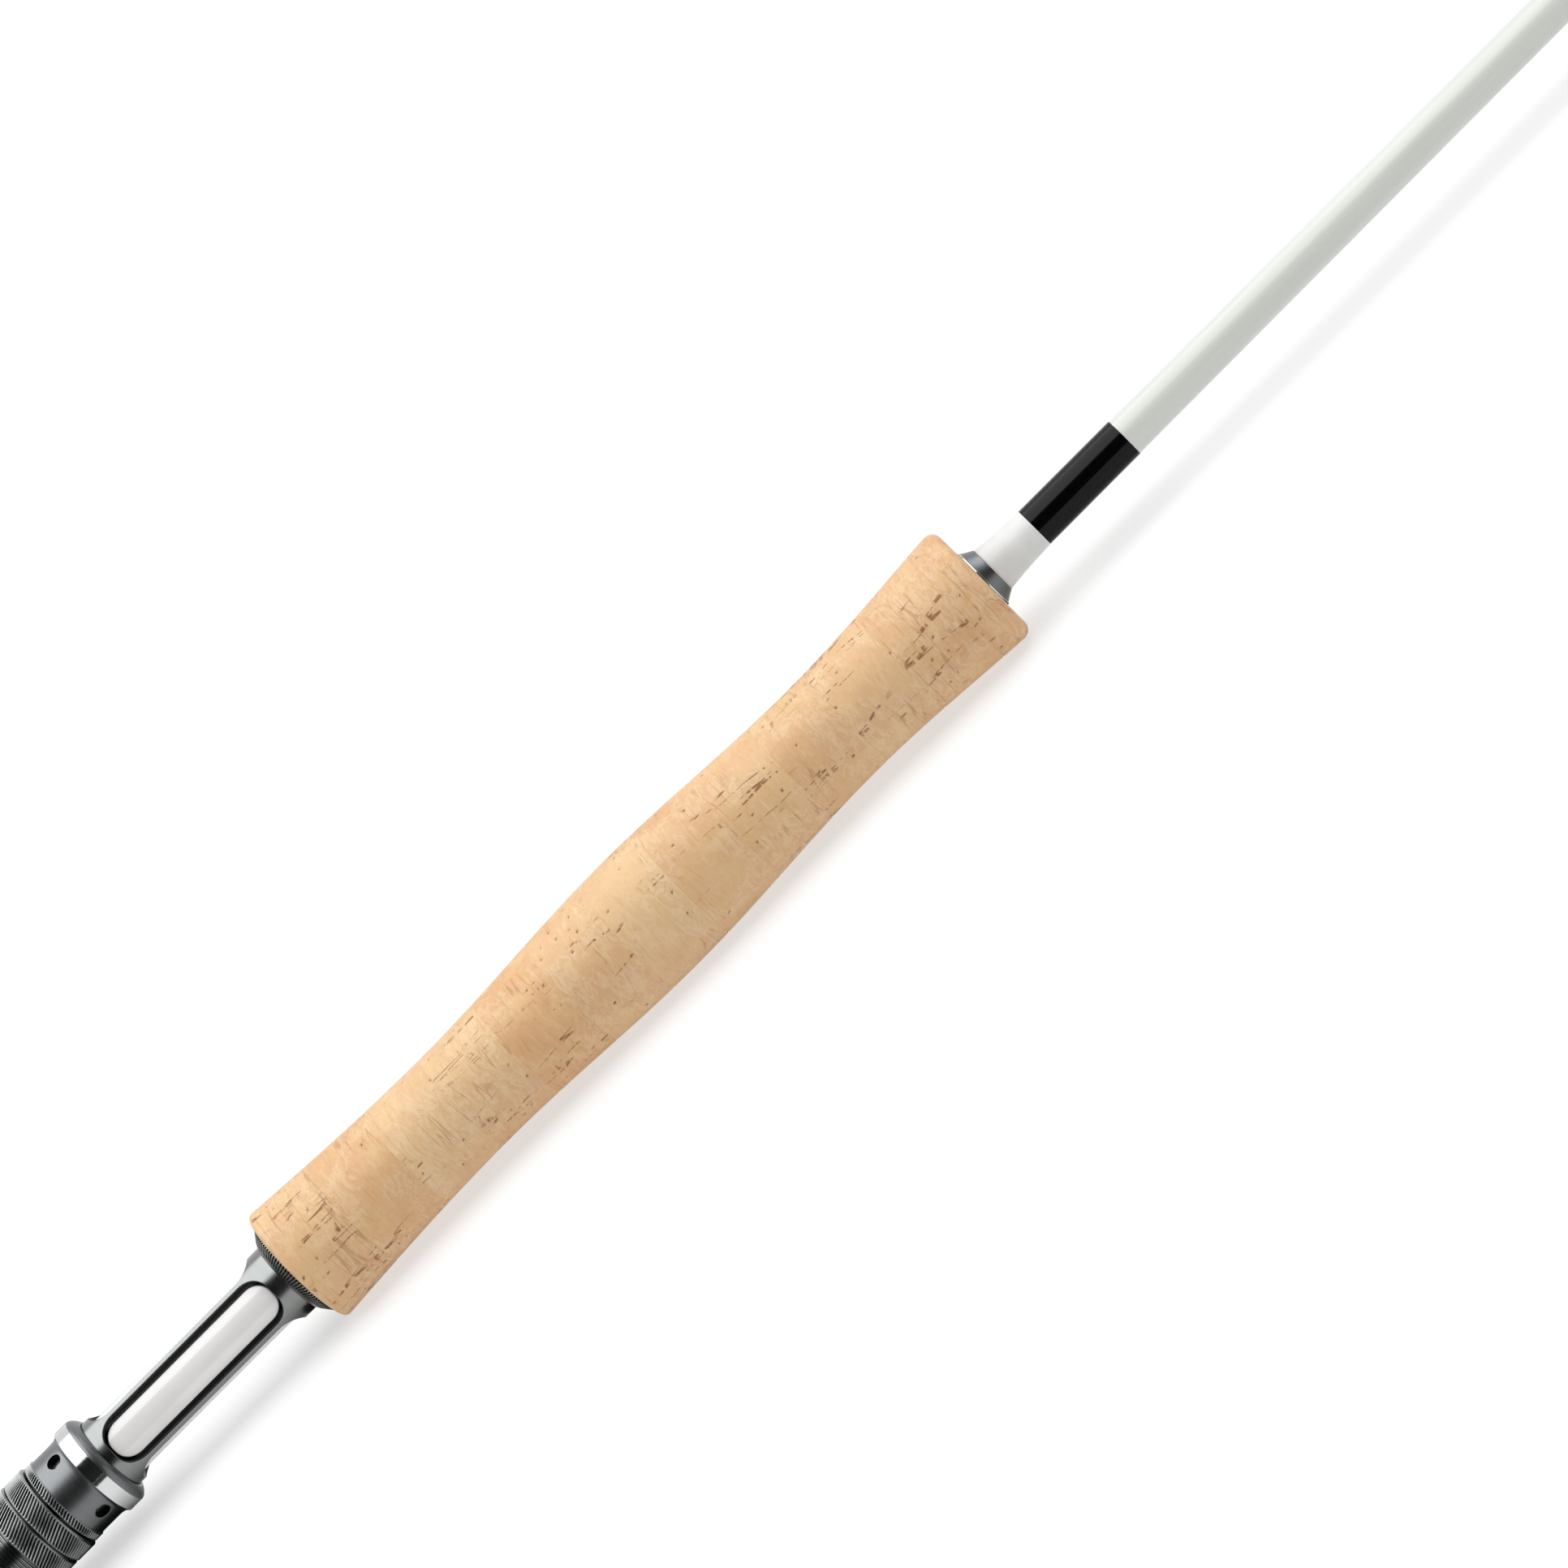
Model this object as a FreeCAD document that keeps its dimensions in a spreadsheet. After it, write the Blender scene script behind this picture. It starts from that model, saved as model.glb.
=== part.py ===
"""A four-piece fly rod with an empty, up-locking reel seat and a full-wells cork grip.

+X runs from the butt to the tip along the blank's axis, +Z is up as the rod lies on a flat floor, and the
origin is the centre of the butt cap's end face. Millimetres. Every piece is made with the reel side (hood
pockets, guides) on -Z, and is rolled about the axis as it is written, so that the rod lies on its side.
"""

import FreeCAD, Part
import Sketcher
import math
import os

from FreeCAD import Placement, Rotation, Vector

doc = FreeCAD.newDocument("fly_rod")
ALONG = Vector(1, 0, 0)
CENTRE = Vector(0, 0, 0)

# ---------------------------------------------------------------- driving dimensions

SIZES = {
    # blank: straight tapers, one per section, joined by sleeves that slip over the section below
    "section_length": 731.0,
    "ferrule_overlap": 60.0,
    "ferrule_clearance": 0.02,
    "socket_relief": 6.0,
    "butt_blank_radius": 4.9,
    "butt_blank_taper": 0.00145,
    "butt_blank_wall": 1.1,
    "lower_middle_wall": 0.75,
    "lower_middle_tip_radius": 2.75,
    "upper_middle_wall": 0.6,
    "upper_middle_tip_radius": 1.95,
    "tip_wall": 0.5,
    "tip_end_radius": 0.95,
    "ferrule_wrap_length": 22.0,
    "ferrule_wrap_height": 0.3,
    "wrap_fade": 1.5,
    # fighting butt behind the seat
    "glue_gap": 0.03,
    "butt_cap_length": 7.0,
    "butt_cap_radius": 13.0,
    "butt_cap_corner": 1.5,
    "blank_recess": 4.0,
    "butt_cork_length": 33.0,
    "butt_cork_rear_radius": 12.6,
    "butt_cork_waist_radius": 10.6,
    "butt_cork_front_radius": 11.2,
    "butt_cork_waist_share": 0.6,
    "butt_ring_length": 3.0,
    "butt_ring_radius": 10.6,
    # reel seat
    "barrel_radius": 8.15,
    "barrel_wall": 1.15,
    "thread_step": 0.15,
    "thread_depth": 0.3,
    "thread_pitch": 0.8,
    "thread_start": 45.0,
    "thread_end": 89.0,
    "window_start": 104.65,
    "window_length": 44.5,
    "window_angle": 82.0,
    "window_corner": 3.3,
    "front_collar_length": 3.14,
    "hood_tenon_length": 12.0,
    "core_clearance": 0.05,
    "pad_sink": 0.16,
    "pad_thickness": 1.11,
    "pad_angle": 70.5,
    "pad_corner_share": 0.4114,
    "pad_end_gap": 0.25,
    # hoods and rings
    "hood_clearance": 0.1,
    "ring_clearance": 0.08,
    "rest_gap_hood_window": 1.85,
    "hood_nose_length": 1.8,
    "hood_nose_wall": 0.5,
    "hood_flange_length": 3.0,
    "hood_flange_wall": 2.35,
    "hood_flare_length": 2.0,
    "hood_flare_rise": 0.15,
    "hood_body_length": 5.3,
    "hood_body_wall": 1.45,
    "hood_band_length": 2.0,
    "hood_band_rise": 0.25,
    "hood_hole_radius": 1.6,
    "hood_hole_from_flare": 1.05,
    "ring_width": 5.0,
    "ring_wall": 2.27,
    "ring_chamfer": 0.35,
    "hood_ring_gap": 0.45,
    "jam_gap": 0.16,
    "washer_width": 0.8,
    "washer_proud": 0.08,
    "washer_inset": 1.05,
    "foot_pocket_angle": 76.0,
    "foot_pocket_height": 1.2,
    "foot_pocket_mouth": 0.5,
    "sliding_pocket_depth": 6.0,
    "fixed_pocket_depth": 10.5,
    "rim_length": 2.71,
    "rim_slope_length": 2.0,
    "rim_lip": 0.1,
    "rim_rise": 0.8,
    "hood_tenon_wall": 2.15,
    # cork grip
    "grip_length": 190.5,
    "cork_ring_count": 12.5,
    "grip_rear_radius": 13.85,
    "grip_waist_radius": 11.8,
    "grip_palm_radius": 13.64,
    "grip_thumb_radius": 11.75,
    "grip_front_radius": 14.0,
    "grip_waist_share": 0.2467,
    "grip_palm_share": 0.5144,
    "grip_thumb_share": 0.7822,
    "grip_rear_corner": 1.1,
    "grip_front_corner": 2.4,
    # in front of the grip
    "check_length": 2.8,
    "check_rim_radius": 7.0,
    "check_front_radius": 5.3,
    "check_rim_length": 0.35,
    "check_rim_lip": 0.2,
    "check_waist_share": 0.55,
    "check_waist_rise": 0.55,
    "sleeve_length": 11.5,
    "sleeve_height": 0.12,
    "band_length": 24.8,
    "band_height": 0.1,
    # line guides; a share is of the distance between two ferrules' mouths, from the section's rear end
    "stripper_one_share": 0.9538,
    "stripper_one_ring_radius": 8.0,
    "stripper_one_height": 12.0,
    "stripper_two_share": 0.3487,
    "stripper_two_ring_radius": 5.6,
    "stripper_two_height": 9.5,
    "insert_thickness": 1.8,
    "insert_width": 2.4,
    "band_thickness": 0.8,
    "stripper_wire_radius": 0.8,
    "stripper_leg_angle": 70.0,
    "stripper_foot_start": 9.0,
    "foot_length": 12.0,
    "wrap_height": 0.3,
    "wrap_margin": 1.5,
    "snake_wire_radius": 0.5,
    "snake_half_span": 5.0,
    "snake_bend_radius": 1.2,
    "snake_foot_length": 9.0,
    "tip_tube_length": 14.0,
    "tip_tube_wall": 0.3,
    "tip_tube_end": 1.5,
    "tip_loop_radius": 3.1,
    "tip_wire_radius": 0.45,
    "tip_leg_radius": 0.38,
    "tip_leg_start": 4.0,
    "tip_leg_spread": 0.6,
    "tip_loop_tilt": 20.0,
    # lying on its side, the rod rests on the grip's front end, the tip-top and the first stripping guide
    "lying_roll": 72.0,
}

# the section that carries each snake guide, its place as a share, and its loop's inner width
SNAKES = {
    "lower_middle": ((0.6617, 5.4), (0.9374, 5.0)),
    "upper_middle": ((0.2206, 4.6), (0.4814, 4.2), (0.7347, 3.9), (0.9657, 3.6)),
    "tip": ((0.1744, 3.4), (0.3830, 3.2), (0.5768, 3.0), (0.7556, 2.9), (0.9195, 2.8)),
}

# the sliding hood's nose: share of its length in front of the flange, and drop below the flange
NOSE_ROUNDING = ((0.3, 0.2), (0.7, 0.9))

# the fixed hood's sloping face is hollow: at this share of its length it has this share of its height
RIM_HOLLOW = (0.35, 0.45)

# the white sleeve: share of its length, and drop below the winding check's front edge
SLEEVE_FALL = ((0.0, 0.05), (0.15, 0.22), (0.5, 0.55))

# a snake guide's bends, as shares: of the half span, of the loop's half width
SNAKE_SHOULDER = 0.45
SNAKE_CROWN = 0.2
SNAKE_CROWN_WIDTH = 0.75
SNAKE_LIFT = 0.22

sheet = doc.addObject("Spreadsheet::Sheet", "dims")
for row, (alias, value) in enumerate(SIZES.items(), start=1):
    sheet.set(f"A{row}", alias)
    sheet.set(f"B{row}", str(value))
    sheet.setAlias(f"B{row}", alias)
doc.recompute()

# ---------------------------------------------------------------- sizes that follow from them

SEAT_START = "(dims.butt_cap_length + dims.butt_cork_length + dims.butt_ring_length)"
WINDOW_END = "(dims.window_start + dims.window_length)"
RIM_START = f"({WINDOW_END} + dims.front_collar_length)"
GRIP_START = f"({RIM_START} + dims.rim_length)"
GRIP_END = f"({GRIP_START} + dims.grip_length)"
TENON_END = f"({GRIP_START} + dims.hood_tenon_length)"
CHECK_END = f"({GRIP_END} + dims.check_length)"
SLEEVE_END = f"({CHECK_END} + dims.sleeve_length)"
BAND_END = f"({SLEEVE_END} + dims.band_length)"
BARREL_BORE = "(dims.barrel_radius - dims.barrel_wall)"
NOSE_END = "(dims.window_start - dims.rest_gap_hood_window)"
FLANGE_END = f"({NOSE_END} - dims.hood_nose_length)"
FLANGE_START = f"({FLANGE_END} - dims.hood_flange_length)"
FLARE_START = f"({FLANGE_START} - dims.hood_flare_length)"
BODY_START = f"({FLARE_START} - dims.hood_body_length)"
HOOD_START = f"({BODY_START} - dims.hood_band_length)"
LOCK_FRONT = f"({HOOD_START} - dims.hood_ring_gap)"
LOCK_REAR = f"({LOCK_FRONT} - dims.ring_width)"
JAM_FRONT = f"({LOCK_REAR} - dims.jam_gap)"
JAM_REAR = f"({JAM_FRONT} - dims.ring_width)"
THREAD_CREST = "(dims.barrel_radius - dims.thread_step)"
HOOD_BORE = "(dims.barrel_radius + dims.hood_clearance)"
HOOD_FLANGE = f"({HOOD_BORE} + dims.hood_flange_wall)"
HOOD_BODY = f"({HOOD_BORE} + dims.hood_body_wall)"
HOOD_TENON = f"({HOOD_BORE} + dims.hood_tenon_wall)"
RIM_RADIUS = f"({HOOD_TENON} + dims.rim_rise)"
RING_BORE = f"({THREAD_CREST} + dims.ring_clearance)"
RING_RADIUS = f"({RING_BORE} + dims.ring_wall)"
CORK_RING_WIDTH = "(dims.grip_length / dims.cork_ring_count)"
PITCH_OF_SECTIONS = "(dims.section_length - dims.ferrule_overlap)"


def value(text):
    """The number that an expression on the sheet's cells gives, in millimetres or degrees."""
    return float(sheet.evalExpression(text.replace("dims.", "")))


def butt_radius(at):
    """Outer radius of the butt blank at a station, as an expression."""
    return f"(dims.butt_blank_radius - dims.butt_blank_taper * {at})"


# ---------------------------------------------------------------- ways of making a piece

nodes = []


def keep(piece):
    """Marks a document object as a finished sub-part."""
    nodes.append(piece)
    return piece


def origin_plane(body, role):
    return [plane for plane in body.Origin.OriginFeatures if plane.Role == role][0]


def outline_sketch(body, name, outline):
    """A closed outline of straight lines in the XZ plane, each corner bound to its two expressions."""
    sketch = body.newObject("Sketcher::SketchObject", name)
    sketch.AttachmentSupport = [(origin_plane(body, "XZ_Plane"), "")]
    sketch.MapMode = "FlatFace"
    corners = [Vector(value(along), value(out), 0) for along, out in outline]
    following = corners[1:] + corners[:1]
    for start, end in zip(corners, following):
        sketch.addGeometry(Part.LineSegment(start, end), False)
    for i in range(len(corners)):
        sketch.addConstraint(Sketcher.Constraint("Coincident", i, 2, (i + 1) % len(corners), 1))
    for i, (corner, texts) in enumerate(zip(corners, outline)):
        for kind, size, text in zip(("DistanceX", "DistanceY"), corner, texts):
            number = sketch.addConstraint(Sketcher.Constraint(kind, i, 1, size))
            sketch.setExpression(f"Constraints[{number}]", text)
    return sketch


def turned(name, outline, angle=None, about=0.0):
    """A body turned about the rod's axis: a full turn, or a sector of the given angle centred on +Z
    and then rolled about the axis."""
    body = doc.addObject("PartDesign::Body", name)
    body.Label = name
    sketch = outline_sketch(body, name + "_outline", outline)
    turn = body.newObject("PartDesign::Revolution", name + "_turn")
    turn.Profile = sketch
    turn.ReferenceAxis = (sketch, ["H_Axis"])
    if angle is None:
        turn.Angle = 360
    else:
        turn.setExpression("Angle", angle)
        turn.Midplane = True
    body.Placement = Placement(CENTRE, Rotation(ALONG, about))
    doc.recompute()
    return body


def radial_edges(shape):
    """Names of the straight edges that run outwards from the axis."""
    found = []
    for number, edge in enumerate(shape.Edges, start=1):
        if edge.Curve.TypeId != "Part::GeomLine" or abs(edge.Curve.Direction.x) > 0.01:
            continue
        found.append(f"Edge{number}")
    return found


def rounded_sector(name, start, end, inner, outer, angle, corner, about):
    """A sector of a tube with its four radial corners rounded."""
    outline = ((start, inner), (end, inner), (end, outer), (start, outer))
    body = turned(name, outline, angle=angle)
    turn = body.Tip
    rounding = body.newObject("PartDesign::Fillet", name + "_corners")
    rounding.Base = (turn, radial_edges(turn.Shape))
    rounding.setExpression("Radius", corner)
    body.Placement = Placement(CENTRE, Rotation(ALONG, about))
    return body


def cut(name, base, tools):
    """A piece less its cutters."""
    tool = tools[0]
    if len(tools) > 1:
        tool = doc.addObject("Part::MultiFuse", name + "_cutters")
        tool.Shapes = tools
    piece = doc.addObject("Part::Cut", name)
    piece.Base = base
    piece.Tool = tool
    return piece


def foot_pocket(name, start, end):
    """The cutter for a reel-foot pocket: a curved slot on the reel side, from inside the barrel outwards."""
    outline = (
        (start, BARREL_BORE),
        (end, BARREL_BORE),
        (end, "dims.barrel_radius + dims.foot_pocket_height"),
        (start, "dims.barrel_radius + dims.foot_pocket_height"),
    )
    return turned(name, outline, angle="dims.foot_pocket_angle", about=180)


def shaped(name, shape):
    """A piece whose shape is worked out from the sheet by code, for bent wire and curved outlines."""
    piece = doc.addObject("Part::Feature", name)
    piece.Shape = shape
    piece.Placement = Placement()
    return piece


def curved_turning(curve_points, start, end, bore_at):
    """A solid turned from a smooth outer curve, with a bore that fits the butt blank's taper."""
    curve = Part.BSplineCurve()
    curve.interpolate([Vector(along, 0, out) for along, out in curve_points])
    rear = Vector(start, 0, bore_at(start))
    front = Vector(end, 0, bore_at(end))
    outer_rear = Vector(start, 0, curve_points[0][1])
    outer_front = Vector(end, 0, curve_points[-1][1])
    edges = [
        Part.makeLine(rear, outer_rear),
        curve.toShape(),
        Part.makeLine(outer_front, front),
        Part.makeLine(front, rear),
    ]
    return Part.Face(Part.Wire(edges)).revolve(CENTRE, ALONG, 360)


def blank_bore(at):
    """Radius of a bore that is glued on the butt blank, in millimetres."""
    return value(butt_radius(at)) + value("dims.glue_gap")


def glued(at):
    """The same radius as an expression."""
    return f"({butt_radius(at)} + dims.glue_gap)"


# ---------------------------------------------------------------- fighting butt

CORK_START = "dims.butt_cap_length"
CORK_END = f"({CORK_START} + dims.butt_cork_length)"

# moulded rubber cap, glued over the blank's end
keep(
    turned(
        "butt_cap",
        (
            ("0", "0"),
            ("dims.blank_recess", "0"),
            ("dims.blank_recess", glued("dims.blank_recess")),
            (CORK_START, glued(CORK_START)),
            (CORK_START, "dims.butt_cap_radius"),
            ("dims.butt_cap_corner", "dims.butt_cap_radius"),
            ("0", "dims.butt_cap_radius - dims.butt_cap_corner"),
        ),
    )
)

# cork behind the seat, waisted for the hand
cork_start = value(CORK_START)
cork_end = value(CORK_END)
cork_waist = cork_start + (cork_end - cork_start) * value("dims.butt_cork_waist_share")
fighting_curve = (
    (cork_start, value("dims.butt_cork_rear_radius")),
    (cork_waist, value("dims.butt_cork_waist_radius")),
    (cork_end, value("dims.butt_cork_front_radius")),
)
keep(shaped("fighting_butt_cork", curved_turning(fighting_curve, cork_start, cork_end, blank_bore)))

# metal ring between that cork and the seat
keep(
    turned(
        "butt_trim_ring",
        (
            (CORK_END, glued(CORK_END)),
            (SEAT_START, glued(SEAT_START)),
            (SEAT_START, "dims.butt_ring_radius - dims.ring_chamfer"),
            (f"{SEAT_START} - dims.ring_chamfer", "dims.butt_ring_radius"),
            (CORK_END, "dims.butt_ring_radius"),
        ),
    )
)

# ---------------------------------------------------------------- reel seat

WINDOWS = 4


def barrel():
    """The seat's tube: a thread of fine grooves behind, a plain collar, and a tenon in the fixed hood."""
    body = turned(
        "seat_tube",
        (
            (SEAT_START, BARREL_BORE),
            (TENON_END, BARREL_BORE),
            (TENON_END, "dims.barrel_radius"),
            ("dims.thread_end", "dims.barrel_radius"),
            ("dims.thread_end", THREAD_CREST),
            (SEAT_START, THREAD_CREST),
        ),
    )
    clear_of_crest = f"{THREAD_CREST} + dims.thread_depth / 10"
    groove_outline = (
        ("dims.thread_start", clear_of_crest),
        ("dims.thread_start + dims.thread_pitch / 2", f"{THREAD_CREST} - dims.thread_depth"),
        ("dims.thread_start + dims.thread_pitch * 0.9", clear_of_crest),
    )
    sketch = outline_sketch(body, "thread_outline", groove_outline)
    groove = body.newObject("PartDesign::Groove", "thread_groove")
    groove.Profile = sketch
    groove.ReferenceAxis = (sketch, ["H_Axis"])
    groove.Angle = 360
    doc.recompute()
    rows = body.newObject("PartDesign::LinearPattern", "thread_rows")
    rows.Originals = [groove]
    rows.Direction = (sketch, ["H_Axis"])
    turns = int(value("(dims.thread_end - dims.thread_start) / dims.thread_pitch"))
    rows.Occurrences = turns
    rows.setExpression("Length", f"dims.thread_pitch * {turns - 1}")
    body.Tip = rows
    doc.recompute()
    return body


windows = []
for number in range(WINDOWS):
    windows.append(
        rounded_sector(
            f"window_cutter_{number + 1}",
            "dims.window_start",
            WINDOW_END,
            f"{BARREL_BORE} - 1",
            "dims.barrel_radius + 1",
            "dims.window_angle",
            "dims.window_corner",
            360 / WINDOWS * number,
        )
    )
keep(cut("seat_frame", barrel(), windows))

# dark core glued on the blank: lands under the frame's ends, a waist behind the windows, and a white
# inlay pad on the waist in each window
CORE_LAND = f"({BARREL_BORE} - dims.core_clearance)"
PAD_TOP = f"({BARREL_BORE} - dims.pad_sink)"
PAD_FLOOR = f"({PAD_TOP} - dims.pad_thickness)"
CORE_WAIST = f"({PAD_FLOOR} - dims.glue_gap)"
keep(
    turned(
        "seat_core",
        (
            (SEAT_START, glued(SEAT_START)),
            (TENON_END, glued(TENON_END)),
            (TENON_END, CORE_LAND),
            (WINDOW_END, CORE_LAND),
            (WINDOW_END, CORE_WAIST),
            ("dims.window_start", CORE_WAIST),
            ("dims.window_start", CORE_LAND),
            (SEAT_START, CORE_LAND),
        ),
    )
)

for number in range(WINDOWS):
    keep(
        rounded_sector(
            f"inlay_pad_{number + 1}",
            "(dims.window_start + dims.pad_end_gap)",
            f"({WINDOW_END} - dims.pad_end_gap)",
            PAD_FLOOR,
            PAD_TOP,
            "dims.pad_angle",
            f"{PAD_FLOOR} * dims.pad_angle * pi / 180 * dims.pad_corner_share",
            360 / WINDOWS * number,
        )
    )

# fixed hood: a sloping coin-edged rim, and a sleeve let into the cork
fixed_hood = turned(
    "fixed_hood_blank",
    (
        (RIM_START, HOOD_BORE),
        (TENON_END, HOOD_BORE),
        (TENON_END, HOOD_TENON),
        (GRIP_START, HOOD_TENON),
        (GRIP_START, RIM_RADIUS),
        (f"{RIM_START} + dims.rim_slope_length", RIM_RADIUS),
        (
            f"{RIM_START} + dims.rim_slope_length * {RIM_HOLLOW[0]}",
            f"dims.barrel_radius + ({RIM_RADIUS} - dims.barrel_radius) * {RIM_HOLLOW[1]}",
        ),
        (RIM_START, f"{HOOD_BORE} + dims.rim_lip"),
    ),
)
fixed_pocket = foot_pocket(
    "fixed_pocket", f"{RIM_START} - dims.foot_pocket_mouth", f"{RIM_START} + dims.fixed_pocket_depth"
)
keep(cut("fixed_hood", fixed_hood, [fixed_pocket]))

# ---------------------------------------------------------------- sliding hood and rings

HOLE_AT = f"({FLARE_START} - dims.hood_hole_from_flare)"
nose = [
    (f"{FLANGE_END} + dims.hood_nose_length * {share}", f"{HOOD_FLANGE} - {drop}")
    for share, drop in reversed(NOSE_ROUNDING)
]

hood_turning = turned(
    "hood_turning",
    (
        (HOOD_START, HOOD_BORE),
        (NOSE_END, HOOD_BORE),
        (NOSE_END, f"{HOOD_BORE} + dims.hood_nose_wall"),
        *nose,
        (FLANGE_END, HOOD_FLANGE),
        (FLANGE_START, HOOD_FLANGE),
        (f"{FLARE_START} + dims.hood_flare_length / 2", f"{HOOD_BODY} + dims.hood_flare_rise"),
        (FLARE_START, HOOD_BODY),
        (BODY_START, HOOD_BODY),
        (BODY_START, f"{HOOD_BODY} + dims.hood_band_rise"),
        (HOOD_START, f"{HOOD_BODY} + dims.hood_band_rise"),
    ),
)
hood_holes = []
for number, turn_angle in enumerate((45, 135)):
    drill = doc.addObject("Part::Cylinder", f"hood_drill_{number + 1}")
    drill.setExpression("Radius", "dims.hood_hole_radius")
    drill.setExpression("Height", f"{HOOD_FLANGE} * 2 + 2")
    drill.Placement = Placement(CENTRE, Rotation(ALONG, turn_angle))
    drill.setExpression(".Placement.Base.x", HOLE_AT)
    sideways = math.sin(math.radians(turn_angle))
    upright = math.cos(math.radians(turn_angle))
    drill.setExpression(".Placement.Base.y", f"{sideways:.9f} * ({HOOD_FLANGE} + 1)")
    drill.setExpression(".Placement.Base.z", f"-({upright:.9f}) * ({HOOD_FLANGE} + 1)")
    hood_holes.append(drill)
sliding_pocket = foot_pocket(
    "sliding_pocket", f"{NOSE_END} - dims.sliding_pocket_depth", f"{NOSE_END} + dims.foot_pocket_mouth"
)
keep(cut("sliding_hood", hood_turning, hood_holes + [sliding_pocket]))

SHOULDER = f"({RING_RADIUS} - dims.ring_chamfer)"

# lock ring: drives the hood; its bore stands clear of the thread crests
keep(
    turned(
        "lock_ring",
        (
            (LOCK_REAR, RING_BORE),
            (LOCK_FRONT, RING_BORE),
            (LOCK_FRONT, SHOULDER),
            (f"{LOCK_FRONT} - dims.ring_chamfer", RING_RADIUS),
            (f"{LOCK_REAR} + dims.ring_chamfer", RING_RADIUS),
            (LOCK_REAR, SHOULDER),
        ),
    )
)

# jam ring: the same turning, with a recess in its front face for the washer
WASHER_REAR = f"({JAM_FRONT} + dims.washer_proud - dims.washer_width)"
WASHER_RADIUS = f"({RING_RADIUS} - dims.washer_inset)"
WASHER_RECESS = f"({WASHER_RADIUS} + dims.glue_gap)"
keep(
    turned(
        "jam_ring",
        (
            (JAM_REAR, RING_BORE),
            (f"{WASHER_REAR} - dims.glue_gap", RING_BORE),
            (f"{WASHER_REAR} - dims.glue_gap", WASHER_RECESS),
            (JAM_FRONT, WASHER_RECESS),
            (JAM_FRONT, SHOULDER),
            (f"{JAM_FRONT} - dims.ring_chamfer", RING_RADIUS),
            (f"{JAM_REAR} + dims.ring_chamfer", RING_RADIUS),
            (JAM_REAR, SHOULDER),
        ),
    )
)
keep(
    turned(
        "jam_washer",
        (
            (WASHER_REAR, RING_BORE),
            (f"{JAM_FRONT} + dims.washer_proud", RING_BORE),
            (f"{JAM_FRONT} + dims.washer_proud", WASHER_RADIUS),
            (WASHER_REAR, WASHER_RADIUS),
        ),
    )
)

# ---------------------------------------------------------------- cork grip

CURVE_STEPS = 4  # curve points between one waist or swell and the next


def swell(t):
    """0 to 1 along half a cosine wave."""
    return (1 - math.cos(math.pi * t)) / 2


def rear_flare(t):
    """0 at the waist to 1 at the grip's rear end, along a quarter of a cosine wave."""
    return 1 - math.cos(math.pi * t / 2)


def front_flare(t):
    """0 at the thumb waist to 1 at the front end, along three eighths of a cosine wave."""
    return (1 - math.cos(math.pi * 0.75 * t)) / (1 - math.cos(math.pi * 0.75))


def grip_points():
    """Stations and radii along the full-wells outline: rear flare, waist, palm swell, thumb waist, flare."""
    start = value(GRIP_START)
    waist = start + value("dims.grip_length * dims.grip_waist_share")
    palm = start + value("dims.grip_length * dims.grip_palm_share")
    thumb = start + value("dims.grip_length * dims.grip_thumb_share")
    end = value(GRIP_END)
    rear_r = value("dims.grip_rear_radius")
    waist_r = value("dims.grip_waist_radius")
    palm_r = value("dims.grip_palm_radius")
    thumb_r = value("dims.grip_thumb_radius")
    front_r = value("dims.grip_front_radius")
    steps = [i / CURVE_STEPS for i in range(CURVE_STEPS)]
    points = [(start + (waist - start) * t, waist_r + (rear_r - waist_r) * rear_flare(1 - t)) for t in steps]
    points += [(waist + (palm - waist) * t, waist_r + (palm_r - waist_r) * swell(t)) for t in steps]
    points += [(palm + (thumb - palm) * t, palm_r + (thumb_r - palm_r) * swell(t)) for t in steps]
    points += [(thumb + (end - thumb) * t, thumb_r + (front_r - thumb_r) * front_flare(t)) for t in steps]
    return points + [(end, front_r)]


def end_edges(solid, station):
    """The outer circular edge in a given end plane."""
    rims = [edge for edge in solid.Edges if abs(edge.CenterOfMass.x - station) < 0.01 and edge.Closed]
    return [max(rims, key=lambda edge: edge.Length)]


grip_start = value(GRIP_START)
grip_end = value(GRIP_END)
grip_solid = curved_turning(grip_points(), grip_start, grip_end, blank_bore)
grip_solid = grip_solid.makeFillet(value("dims.grip_rear_corner"), end_edges(grip_solid, grip_start))
grip_solid = grip_solid.makeFillet(value("dims.grip_front_corner"), end_edges(grip_solid, grip_end))
recess = Part.makeCylinder(
    value(f"{HOOD_TENON} + dims.glue_gap"),
    value(f"{TENON_END} + dims.glue_gap - {GRIP_START}"),
    Vector(grip_start, 0, 0),
    ALONG,
)
grip_form = shaped("grip_form", grip_solid.cut(recess))

for number in range(math.ceil(value("dims.cork_ring_count"))):
    slab = doc.addObject("Part::Cylinder", f"cork_slab_{number + 1:02d}")
    slab.setExpression("Radius", "dims.grip_front_radius + dims.grip_rear_radius")
    slab.setExpression("Height", CORK_RING_WIDTH)
    slab.Placement = Placement(CENTRE, Rotation(Vector(0, 1, 0), 90))
    slab.setExpression(".Placement.Base.x", f"{GRIP_START} + {CORK_RING_WIDTH} * {number}")
    ring = doc.addObject("Part::Common", f"cork_ring_{number + 1:02d}")
    ring.Base = grip_form
    ring.Tool = slab
    keep(ring)

# ---------------------------------------------------------------- in front of the grip

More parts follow.
